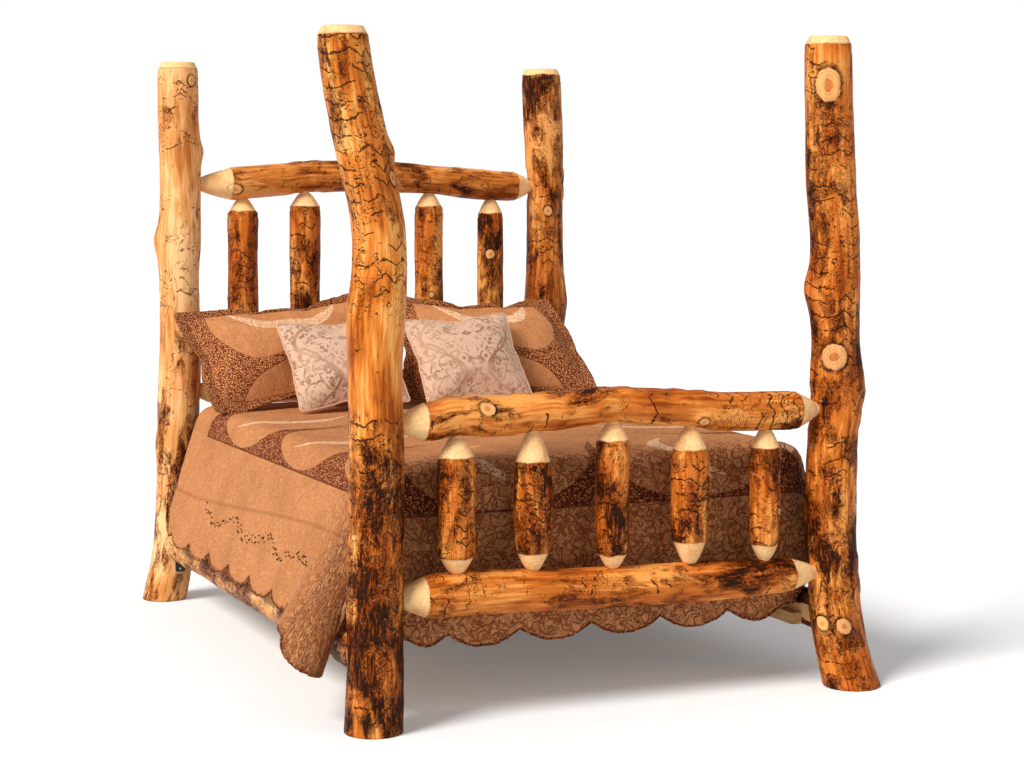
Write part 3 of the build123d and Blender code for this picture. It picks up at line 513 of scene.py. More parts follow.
@dataclass(frozen=True)
class PeeledLog(Finish):
    """Varnished log with knots, bark and trails, read from its mesh's attributes."""

    dark: Colour = srgb(152, 70, 14)
    mid: Colour = srgb(214, 124, 46)
    pale: Colour = srgb(242, 174, 94)
    bark: Colour = srgb(38, 12, 0)
    stain: Colour = srgb(150, 66, 8)
    trail: Colour = srgb(42, 16, 2)
    thread: Colour = srgb(226, 180, 136)
    cut: Colour = srgb(250, 206, 146)
    cut_dark: Colour = srgb(214, 142, 74)
    fineness: float = 1.0
    blotch: float = 0.55
    trail_scale: float = 15.0

    def painted(self, g: Graph) -> Inputs:
        """Paint the finish; see Finish."""
        bole = g.attribute("bole", "Vector")
        wood = g.place("grain", Place=bole, Fineness=self.fineness, Dark=self.dark, Mid=self.mid,
                       Pale=self.pale, Blotch=self.blotch)
        bark = g.place("bark", Place=bole, Amount=g.attribute("bark"))
        trails = g.place("trails", Place=bole, Amount=g.attribute("trails"), Width=0.021,
                         Scale=self.trail_scale)
        threads = g.place("trails", Place=g.vector("ADD", bole, (0.37, 0.11, 0.53)),
                          Amount=g.attribute("trails") * 0.45, Width=0.01, Scale=self.trail_scale * 1.3)
        knot = g.place("knots", Place=bole, Distance=g.attribute("knot"))
        colour = g.mix(bark["Stain"] * 0.75, wood["Colour"], self.stain)
        colour = g.mix(bark["Scribble"] * 0.9, colour, self.bark)
        streaks = g.noise(g.drawn(bole, 0.16), 120.0, 4.0, 0.65)
        bark_colour = g.mix(g.rise(streaks, 0.50, 0.64), self.bark, self.stain)
        colour = g.mix(bark["Mask"] * 0.92, colour, bark_colour)
        colour = g.mix(threads["Mask"] * 0.32, colour, self.thread)
        colour = g.mix(trails["Mask"] * 0.9, colour, self.trail)
        face = g.mix(knot["Rings"] * 0.65, self.cut, self.cut_dark)
        face = g.mix(knot["Core"] * 0.7, face, self.stain)
        face = g.mix(0.5, face, wood["Colour"])
        rim = knot["Rim"] * g.rise(g.noise(bole, 24.0, 3.0, 0.6), 0.36, 0.6, 0.25, 0.95)
        colour = g.mix(rim, colour, self.bark)
        colour = g.mix(knot["Face"] * 0.86, colour, face)
        trim = g.attribute("trim") + (g.noise(bole, 60.0, 3.0, 0.6) - 0.5) * 0.006
        sawn = g.fall(trim, -0.0008, 0.0008)
        rings = g.noise(g.vector("MULTIPLY", bole, (0.25, 0.25, 1.0)), 330.0, 3.0, 0.5, 0.4)
        cut_face = g.mix(g.rise(rings, 0.44, 0.66), self.cut, self.cut_dark)
        cut_face = g.mix(0.55, cut_face, self.cut)
        cut_face = g.mix(g.rise(g.noise(bole, 14.0, 4.0, 0.6), 0.5, 0.72, 0.0, 0.55), cut_face, self.cut_dark)
        edge = g.rise(trim, -0.006, 0.0) * g.fall(trim, 0.0, 0.004)
        colour = g.mix(sawn, colour, cut_face)
        colour = g.mix(edge * 0.5, colour, self.stain)
        rough = 0.3 + bark["Mask"] * 0.16 + g.noise(bole, 40.0, 3.0) * 0.14
        covered = 1.0 - g.math("MAXIMUM", sawn, knot["Face"])
        height = wood["Height"] * 0.35 + bark["Height"] * 1.2 - bark["Scribble"] * 0.7
        height = (height - trails["Mask"] * 0.9 - threads["Mask"] * 0.3) * covered
        height = height + rings * sawn * 0.22 - knot["Rim"] * 0.8
        return {
            "Base Color": colour,
            "Roughness": rough,
            "Specular IOR Level": 0.08, "Coat Weight": 0.04, "Coat Roughness": 0.25,
            "Normal": g.bump(height, 0.0034),
        }


@dataclass(frozen=True)
class PlanedBoard(Finish):
    """Unfinished planed pine; the grain follows the board's long side."""

    grain_axis: str = "X"
    dark: Colour = srgb(176, 124, 70)
    mid: Colour = srgb(214, 170, 112)
    pale: Colour = srgb(232, 200, 150)

    def painted(self, g: Graph) -> Inputs:
        """Paint the finish; see Finish."""
        x, y, z = g.parts(g.object_place())
        turned = {"X": (z, y, x), "Y": (x, z, y), "Z": (x, y, z)}[self.grain_axis]
        place = g.joined(*turned)
        wood = g.place("grain", Place=place, Fineness=1.3, Dark=self.dark, Mid=self.mid, Pale=self.pale,
                       Blotch=0.3)
        dots = g.cells(g.drawn(place, 0.6), 5.0)
        knot = g.fall(dots, 0.05, 0.09)
        return {
            "Base Color": g.mix(knot * 0.8, wood["Colour"], srgb(120, 66, 30)),
            "Roughness": 0.55 + wood["Height"] * 0.2,
            "Normal": g.bump(wood["Height"], 0.0006),
        }


@dataclass(frozen=True)
class CoatedSteel(Finish):
    """Powder-coated steel with worn edges of bright metal."""

    colour: Colour = srgb(34, 33, 32)

    def painted(self, g: Graph) -> Inputs:
        """Paint the finish; see Finish."""
        place = g.object_place()
        orange_peel = g.noise(place, 900.0, 2.0)
        worn = g.rise(g.noise(place, 70.0, 5.0, 0.7), 0.66, 0.74)
        return {
            "Base Color": g.mix(worn, self.colour, srgb(150, 146, 140)),
            "Metallic": worn,
            "Roughness": 0.42 + orange_peel * 0.2,
            "Normal": g.bump(orange_peel, 0.0002),
        }


@dataclass(frozen=True)
class ZincPlate(Finish):
    """Zinc-plated screws with a faint yellow bloom."""

    def painted(self, g: Graph) -> Inputs:
        """Paint the finish; see Finish."""
        place = g.object_place()
        bloom = g.noise(place, 240.0, 4.0, 0.6)
        return {
            "Base Color": g.mix(bloom, srgb(196, 194, 186), srgb(206, 186, 130)),
            "Metallic": 1.0,
            "Roughness": 0.25 + bloom * 0.25,
            "Normal": g.bump(bloom, 0.0001),
        }


@dataclass(frozen=True)
class PressedFelt(Finish):
    """Matted wool fibres."""

    colour: Colour = srgb(120, 104, 88)

    def painted(self, g: Graph) -> Inputs:
        """Paint the finish; see Finish."""
        place = g.object_place()
        fibres = g.noise(place, 700.0, 5.0, 0.7, 1.5)
        return {
            "Base Color": g.mix(fibres, self.colour, srgb(78, 66, 54)),
            "Roughness": 0.95,
            "Normal": g.bump(fibres, 0.0008),
        }


# ---------- helpers for pieces
class Body(Enum):
    """What each piece moves with."""

    FRAME = "bed_frame"
    FOUNDATION = "foundation"
    MATTRESS = "mattress_and_quilt"
    SHAM_LEFT = "sham_left"
    SHAM_RIGHT = "sham_right"
    THROW_LEFT = "throw_left"
    THROW_RIGHT = "throw_right"


def make_piece(name: str, mesh: BMesh, materials: Sequence[Material], smooth: bool = True) -> Object:
    """Turn a bmesh into an object of the scene.

    Args:
        name: name of the piece.
        mesh: its bmesh, freed here.
        materials: its materials, in the order of its faces' indices.
        smooth: whether its faces are shaded smooth.

    Returns:
        The object, at the origin.
    """
    data = bpy.data.meshes.new(name)
    for face in mesh.faces:
        face.smooth = smooth
    mesh.to_mesh(data)
    mesh.free()
    for material in materials:
        data.materials.append(material)
    piece = bpy.data.objects.new(name, data)
    bpy.context.scene.collection.objects.link(piece)
    return piece


def settle(piece: Object, body: Body, slot: str, *nodes: str) -> Object:
    """Let a finished piece ride on a body, and hide the nodes it stands for."""
    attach(piece, body.value)
    if nodes:
        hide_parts(*nodes)
    LOG.info("%s: %d faces", piece.name, len(piece.data.polygons))
    return piece


# ---------- logs
class Run(Enum):
    """Which way a log runs; the value is its axis and the two sides across it."""

    UPRIGHT = ((0, 0, 1), (1, 0, 0), (0, 1, 0))
    ACROSS = ((1, 0, 0), (0, 1, 0), (0, 0, 1))
    LENGTHWISE = ((0, 1, 0), (0, 0, 1), (1, 0, 0))


@dataclass(frozen=True)
class Knot:
    """A cut branch: its place along the log in metres, its bearing in degrees and its size."""

    along: float
    bearing: float
    radius: float = 0.02
    lift: float = 0.006
    tall: float = 1.25


@dataclass(frozen=True)
class Swelling:
    """A smooth lump or hollow; a lift below 0 is a hollow."""

    along: float
    bearing: float
    reach: float
    lift: float
    tall: float = 1.3


@dataclass(frozen=True)
class Twig:
    """A stub of a small branch that stands out of the log."""

    along: float
    bearing: float
    radius: float
    length: float


@dataclass(frozen=True)
class LogMarks:
    """Everything that makes one log different from the next."""

    knots: tuple[Knot, ...] = ()
    swellings: tuple[Swelling, ...] = ()
    twigs: tuple[Twig, ...] = ()
    bark: Stations = ((0.0, 0.35), (1.0, 0.35))
    trails: Stations = ((0.0, 0.45), (1.0, 0.45))
    lumps: float = 1.0


@dataclass(frozen=True)
class Cut:
    """One end of a log: how long its cone and its tenon are."""

    cone: float = 0.0
    tenon: float = 0.0
    tenon_radius: float = 0.0


class MeasuredLog:
    """Middle line, thickness and cut ends of a log of the frame."""

    STATION_PITCH = 0.025
    PROBE_COUNT = 12
    PROBE_REACH = 0.4
    END_PITCH = 0.002
    SMOOTHING = 2

    def __init__(self, node: str, run: Run) -> None:
        self.node = node
        self.axis, self.first, self.second = (Vector(side) for side in run.value)
        low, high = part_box(node)
        self.low = low.dot(self.axis)
        self.high = high.dot(self.axis)
        self.box_centre = (low + high) / 2
        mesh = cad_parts[node].data
        faces = [face.vertices[:] for face in mesh.polygons]
        self.tree = BVHTree.FromPolygons([vert.co for vert in mesh.vertices], faces)
        self._measure()

    def way(self, angle: float) -> Vector:
        """Direction across the log at an angle from its first side."""
        return self.first * cos(angle) + self.second * sin(angle)

    def point(self, offsets: Sequence[float], along: float) -> Vector:
        """Point at offsets along the two sides, at a place along the log."""
        return self.axis * along + self.first * offsets[0] + self.second * offsets[1]

    def _probe(self, along: float, guess: Pair) -> tuple[float, float, float]:
        """Centre and radius of the log at one place, each the middle of several readings."""
        firsts, seconds = [], []
        chords = {}
        start = self.point(guess, along)
        for index in range(self.PROBE_COUNT):
            way = self.way(pi * index / self.PROBE_COUNT)
            near = self.tree.ray_cast(start + way * self.PROBE_REACH, -way)[0]
            far = self.tree.ray_cast(start - way * self.PROBE_REACH, way)[0]
            if near is not None and far is not None:
                chords[index] = ((near + far) / 2).dot(way)
        half = self.PROBE_COUNT // 2
        for index in range(half):
            if index in chords and index + half in chords:
                angle = pi * index / self.PROBE_COUNT
                one, other = chords[index], chords[index + half]
                firsts.append(one * cos(angle) - other * sin(angle))
                seconds.append(one * sin(angle) + other * cos(angle))
        if not firsts:
            return guess[0], guess[1], 0.0
        centre = (sorted(firsts)[len(firsts) // 2], sorted(seconds)[len(seconds) // 2])
        middle = self.point(centre, along)
        radii = []
        for index in range(2 * self.PROBE_COUNT):
            way = self.way(pi * index / self.PROBE_COUNT)
            hit = self.tree.ray_cast(middle + way * self.PROBE_REACH, -way)[0]
            if hit is not None:
                radii.append((hit - middle).length)
        return centre[0], centre[1], sorted(radii)[len(radii) // 2]

    def _measure(self) -> None:
        """Read the whole log at an even pitch, then smooth the readings."""
        count = max(8, round((self.high - self.low) / self.STATION_PITCH))
        guess = (self.box_centre.dot(self.first), self.box_centre.dot(self.second))
        inset = 0.001
        span = self.high - self.low - 2 * inset
        self.places = [self.low + inset + span * i / count for i in range(count + 1)]
        raw = []
        for place in self.places:
            reading = self._probe(place, guess)
            guess = reading[:2]
            raw.append(reading)
        self.raw_radii = [reading[2] for reading in raw]
        self.centres = [self._smoothed([reading[:2] for reading in raw], i) for i in range(len(raw))]

    def _smoothed(self, values: list[Pair], index: int) -> Pair:
        """Mean of the readings round one index."""
        reach = min(self.SMOOTHING, index, len(values) - 1 - index)
        part = values[index - reach : index + reach + 1]
        return tuple(sum(v[k] for v in part) / len(part) for k in range(2))

    def _between(self, along: float) -> tuple[int, float]:
        """Index of the reading before a place, and the share of the way to the next."""
        first, last = self.places[0], self.places[-1]
        position = (along - first) / (last - first) * (len(self.places) - 1)
        position = min(max(position, 0.0), len(self.places) - 1.000001)
        return int(position), position - int(position)

    def centre(self, along: float) -> Pair:
        """Offsets of the middle line along the two sides, at a place along the log."""
        index, share = self._between(along)
        a, b = self.centres[index], self.centres[index + 1]
        return a[0] + (b[0] - a[0]) * share, a[1] + (b[1] - a[1]) * share

    def radius(self, along: float) -> float:
        """Radius of the uncut log at a place, held level beyond its shoulders."""
        along = min(max(along, self.body_low), self.body_high)
        index, share = self._between(along)
        low = max(index - 1, 0)
        part = [r for r in self.raw_radii[low : index + 3] if r > 0]
        near = self.raw_radii[index] + (self.raw_radii[index + 1] - self.raw_radii[index]) * share
        return (near + sum(part) / len(part)) / 2

    def radius_exact(self, along: float) -> float:
        """Radius read from the frame at one place."""
        return self._probe(along, self.centre(along))[2]

    def find_shoulders(self, tenons: bool) -> tuple[Cut, Cut]:
        """Find the cut ends; also sets where the body of the log begins and ends.

        Args:
            tenons: whether the log has a cone and a tenon at each end.

        Returns:
            The cuts at the low and the high end.
        """
        self.body_low, self.body_high = self.low, self.high
        if not tenons:
            return Cut(), Cut()
        cuts = []
        for end, inward in ((self.low, 1), (self.high, -1)):
            tenon_radius = self.radius_exact(end + inward * 0.01)
            tip = end + inward * 0.012
            while self.radius_exact(tip) < tenon_radius * 1.03:
                tip += inward * self.END_PITCH
            shoulder = tip + inward * 0.03
            before = self.radius_exact(shoulder)
            step = 2 * self.END_PITCH
            slope = before - self.radius_exact(shoulder - inward * step)
            while True:
                after = self.radius_exact(shoulder + inward * step)
                if after - before < 0.45 * slope:
                    break
                shoulder += inward * step
                before = after
            cuts.append((Cut(abs(shoulder - tip), abs(tip - end), tenon_radius), shoulder))
        self.body_low, self.body_high = cuts[0][1], cuts[1][1]
        return cuts[0][0], cuts[1][0]


SAWN = -0.01
NO_KNOT = 3.0


@dataclass
class DressedLog:
    """The visible skin of one log: cut ends, lumps, knots and twigs on its real middle line."""

    node: str
    run: Run
    finish: Material
    marks: LogMarks
    seed: float
    tenons: bool = False
    bevel_width: float = 0.0
    bevel_height: float = 0.0
    segments: int = 88
    ring_pitch: float = 0.008
    cut_pitch: float = 0.005
    edge_round: float = 0.0025
    cone_fullness: float = 0.76
    facets: int = 11
    lump_height: float = 0.0030
    dent_height: float = 0.0015
    ridge_height: float = 0.0007
    flake_height: float = 0.0009
    shoulder_wobble: float = 0.004

    def build(self) -> Object:
        """Model the log.

        Returns:
            The finished piece, which stands for its node.
        """
        self.log = MeasuredLog(self.node, self.run)
        self.cuts = self.log.find_shoulders(self.tenons)
        if self.bevel_height:
            self.log.body_high = self.log.high - self.bevel_height
        mesh = self._turned()
        self._carve(mesh)
        for twig in self.marks.twigs:
            self._add_twig(mesh, twig)
        bmesh.ops.recalc_face_normals(mesh, faces=mesh.faces)
        piece = make_piece(f"log_{self.node}", mesh, [self.finish])
        return settle(piece, Body.FRAME, "peeled_log", self.node)

    def _profile(self) -> list[Pair]:
        """Half outline of the log as (radius, place along it), from one end to the other."""
        log = self.log
        low_cut, high_cut = self.cuts
        points = self._end_profile(low_cut, log.low, log.body_low, 1)
        count = max(4, round((log.body_high - log.body_low) / self.ring_pitch))
        step = (log.body_high - log.body_low) / count
        for index in range(1, count):
            place = log.body_low + step * index
            points.append((log.radius(place), place))
        points += reversed(self._end_profile(high_cut, log.high, log.body_high, -1))
        return points

    def _end_profile(self, cut: Cut, end: float, shoulder: float, inward: int) -> list:
        """Outline of one end, from the middle of its face to its shoulder."""
        full = self.log.radius(shoulder)
        if cut.cone:
            tip = end + inward * cut.tenon
            core = cut.tenon_radius
            points = [(0.0, end), (core * 0.9, end), (core, end + inward * self.edge_round)]
            points.append((core, (end + tip) / 2))
            steps = max(4, round(cut.cone / self.cut_pitch))
            for index in range(steps):
                share = index / steps
                grown = core + (full - core) * share**self.cone_fullness
                points.append((grown, tip + inward * cut.cone * share))
        elif inward < 0 and self.bevel_height:
            top = full - self.bevel_width
            points = [(top * share, end) for share in (0.0, 0.3, 0.6, 0.85, 0.97)]
            steps = max(3, round(self.bevel_height / self.cut_pitch))
            for index in range(steps):
                share = (index + 0.35) / steps
                points.append((top + self.bevel_width * share**0.9, end + inward * self.bevel_height * share))
        else:
            points = [(full * share, end) for share in (0.0, 0.3, 0.6, 0.85)]
            points.append((full - self.edge_round, end))
            points.append((full, end + inward * self.edge_round))
            return points
        points.append((full, shoulder))
        return points

    def _turned(self) -> BMesh:
        """Spin the outline about the log's own axis, which is Z for now."""
        mesh = bmesh.new()
        chain = [mesh.verts.new((radius, 0.0, place)) for radius, place in self._profile()]
        edges = [mesh.edges.new(pair) for pair in zip(chain, chain[1:])]
        bmesh.ops.spin(
            mesh, geom=chain + edges, cent=(0, 0, 0), axis=(0, 0, 1), dvec=(0, 0, 0),
            angle=tau, steps=self.segments, use_merge=True, use_duplicate=False,
        )
        bmesh.ops.remove_doubles(mesh, verts=mesh.verts, dist=1e-6)
        return mesh

    def _layers(self, mesh: BMesh) -> dict[str, object]:
        """The attributes that the finish reads."""
        floats = mesh.verts.layers.float
        found = {name: floats.get(name) or floats.new(name) for name in ("trim", "knot", "bark", "trails")}
        vectors = mesh.verts.layers.float_vector
        found["bole"] = vectors.get("bole") or vectors.new("bole")
        return found

    def _knot_distance(self, along: float, bearing: float, radius: float) -> Pair:
        """Distance to the nearest knot in shares of its size, and the lift of all knots and swellings."""
        nearest, lift = NO_KNOT, 0.0
        for mark in (*self.marks.knots, *self.marks.swellings):
            turn = (bearing - radians(mark.bearing) + pi) % tau - pi
            size = mark.radius if isinstance(mark, Knot) else mark.reach
            away = hypot((along - mark.along) / mark.tall, turn * radius) / size
            if isinstance(mark, Knot):
                nearest = min(nearest, away)
                lift += mark.lift * smooth_share(away, 2.3, 0.9)
            else:
                lift += mark.lift * crest(away, 0.0, 1.0)
        return nearest, lift

    def _relief(self, place: Vector, bark: float) -> float:
        """Height of lumps, dents and ridges at a point of the straightened log."""
        shifted = place + Vector((self.seed, self.seed * 2.3, self.seed * 5.1))
        lump = noise.noise(shifted * 4.2) * self.lump_height * self.marks.lumps
        dent = noise.noise(shifted * 15.0) * self.dent_height
        ridge = noise_at(shifted.x * 60, shifted.y * 60, shifted.z * 5) * self.ridge_height
        flake = noise.noise(shifted * 48.0) * self.flake_height * bark
        return lump + dent + ridge + flake

    def _carve(self, mesh: BMesh) -> None:
        """Give every point its relief and attributes, then bend the log onto its middle line."""
        layers = self._layers(mesh)
        log = self.log
        for vert in mesh.verts:
            along = vert.co.z
            bearing = atan2(vert.co.y, vert.co.x)
            round_place = Vector((cos(bearing), sin(bearing), 0.0))
            radius = hypot(vert.co.x, vert.co.y)
            full = log.radius(along)
            trim = min(along - log.body_low, log.body_high - along)
            if not self.tenons and not self.bevel_height:
                trim = 0.03 if radius > full - self.edge_round else SAWN
            elif self.bevel_height:
                trim = log.body_high - along
                if along < log.low + self.edge_round and radius < full - self.edge_round / 2:
                    trim = SAWN
            bark = along_stations(self.marks.bark, along)
            lift_only = Vector((0.0, 0.0, along))
            place = round_place * full + lift_only
            on_body = smooth_share(trim, -0.002, 0.012)
            relief = self._relief(place, bark) * on_body
            nearest, lift = self._knot_distance(along, bearing, full)
            relief += lift * on_body
            if trim < 0:
                relief += self._facet(bearing, along) * min(1.0, -trim / 0.01) * radius
            if trim > -0.03 and radius > 0.5 * full:
                wave = noise.noise(round_place * 1.7 + lift_only + Vector((0.0, 0.0, self.seed)))
                near = crest(trim, 0.0, 0.02)
                inside = log.low + 0.03 < along < log.high - 0.004
                along += wave * self.shoulder_wobble * near * (1.0 if inside else 0.0)
            grown = radius * (1 + relief / max(full, 0.01))
            centre = log.centre(vert.co.z)
            across = (centre[0] + round_place.x * grown, centre[1] + round_place.y * grown)
            vert[layers["bole"]] = round_place * radius + Vector((0.0, 0.0, vert.co.z + self.seed * 3.1))
            vert[layers["trim"]] = trim
            vert[layers["knot"]] = nearest
            vert[layers["bark"]] = bark
            vert[layers["trails"]] = along_stations(self.marks.trails, vert.co.z)
            vert.co = log.point(across, along)

    def _saw(self, mesh: BMesh, axis: int, plane: float, above: bool,
             span: Pair = (-inf, inf)) -> None:
        """Saw a flat on the log.

        Args:
            mesh: the carved log.
            axis: 0 or 1, the axis across the flat.
            plane: where the flat is on it.
            above: whether the wood above the plane goes, or else that below.
            span: heights between which it is sawn.
        """
        layers = self._layers(mesh)
        for vert in mesh.verts:
            beyond = vert.co[axis] > plane if above else vert.co[axis] < plane
            if beyond and span[0] < vert.co.z < span[1]:
                vert.co[axis] = plane
                vert[layers["trim"]] = SAWN
                vert[layers["knot"]] = NO_KNOT

    def _facet(self, bearing: float, along: float) -> float:
        """How far a drawknife's facets flatten a cut end, as a share of the radius."""
        turn = tau / self.facets
        sway = noise_at(cos(bearing), sin(bearing), self.seed * 7) * 0.8
        offset = (bearing + sway) % turn - turn / 2
        flat = cos(turn / 2) / cos(offset) - 1
        marks = Vector((cos(bearing) * 2, sin(bearing) * 2, along * 90 + self.seed))
        return flat * 0.7 + noise.noise(marks) * 0.012

    def _add_twig(self, mesh: BMesh, twig: Twig) -> None:
        """Model a short branch stub on the log's side."""
        layers = self._layers(mesh)
        log = self.log
        outward = (log.way(radians(twig.bearing)) + log.axis * 0.35).normalized()
        radius = log.radius(twig.along)
        root = log.point(log.centre(twig.along), twig.along)
        sunk = 0.03
        length = twig.length + sunk
        middle = root + outward * (radius - sunk + length / 2)
        turned = Matrix.Translation(middle) @ outward.to_track_quat("Z", "Y").to_matrix().to_4x4()
        made = bmesh.ops.create_cone(mesh, cap_ends=True, segments=18, radius1=twig.radius * 1.35,
                                     radius2=twig.radius, depth=length, matrix=turned)
        edges = {e for v in made["verts"] for e in v.link_edges if len(e.link_faces) == 2}
        rim = [e for e in edges if e.calc_face_angle(0.0) > 0.8]
        bmesh.ops.bevel(mesh, geom=rim, offset=twig.radius * 0.22, segments=2, profile=0.5, affect="EDGES",
                        material=-1)
        for vert in mesh.verts:
            if vert[layers["knot"]] == 0.0 and vert[layers["bole"]].length == 0.0:
                vert[layers["bole"]] = vert.co.copy()
                out = (vert.co - root).dot(outward) - radius
                vert[layers["knot"]] = 0.6 if out > twig.length - 0.002 else 2.0
                vert[layers["trim"]] = 0.02
                vert[layers["bark"]] = 0.5


@dataclass
class Post(DressedLog):
    """A post, with the flat seat where its side rail hooks on."""

    seat_margin: float = 0.008
    extra_height: float = 0.0

    def _carve(self, mesh: BMesh) -> None:
        """Carve the log, then cut the flat seat behind the steel plate."""
        super()._carve(mesh)
        top = self.log.high
        for vert in mesh.verts:
            vert.co.z += self.extra_height * smooth_share(vert.co.z, top - 0.5, top - 0.05)
        end, side = self.node.split("_")[1:]
        low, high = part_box(f"post_plate_{end}_{side}")
        _, rail_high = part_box(f"side_rail_{side}")
        at_foot = end == "foot"
        span = (low.z - self.seat_margin, rail_high.z + self.seat_margin)
        self._saw(mesh, 1, low.y if at_foot else high.y, at_foot, span)


@dataclass
class SideRail(DressedLog):
    """A side rail, with the flat sawn along its inner side."""

    def _carve(self, mesh: BMesh) -> None:
        """Carve the log, then saw its inner side flat against the ledger."""
        super()._carve(mesh)
        side = self.node.removeprefix("side_rail_")
        low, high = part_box(f"ledger_{side}")
        at_left = side == "left"
        self._saw(mesh, 0, low.x if at_left else high.x, at_left)


# ---------- the wooden frame
SPINDLE_SEED = 10.9
LOG_TONES = {
    "honey": {},
    "amber": {"dark": srgb(140, 62, 10), "mid": srgb(204, 110, 38), "pale": srgb(236, 158, 78),
              "trail_scale": 19.0},
    "butter": {"dark": srgb(190, 112, 50), "mid": srgb(232, 162, 96), "pale": srgb(250, 200, 140),
               "trail": srgb(96, 46, 22), "trail_scale": 12.0},
    "russet": {"dark": srgb(130, 60, 12), "mid": srgb(196, 112, 44), "pale": srgb(232, 158, 86),
               "blotch": 0.8},
    # Lighter tone for the side rails, which lie in the quilt's shade: the extra lightness is painted light;
    # the streaks and blotches are the logs' own.
    "tan": {"dark": srgb(176, 104, 48), "mid": srgb(222, 152, 84), "pale": srgb(244, 192, 128),
            "blotch": 0.7},
}


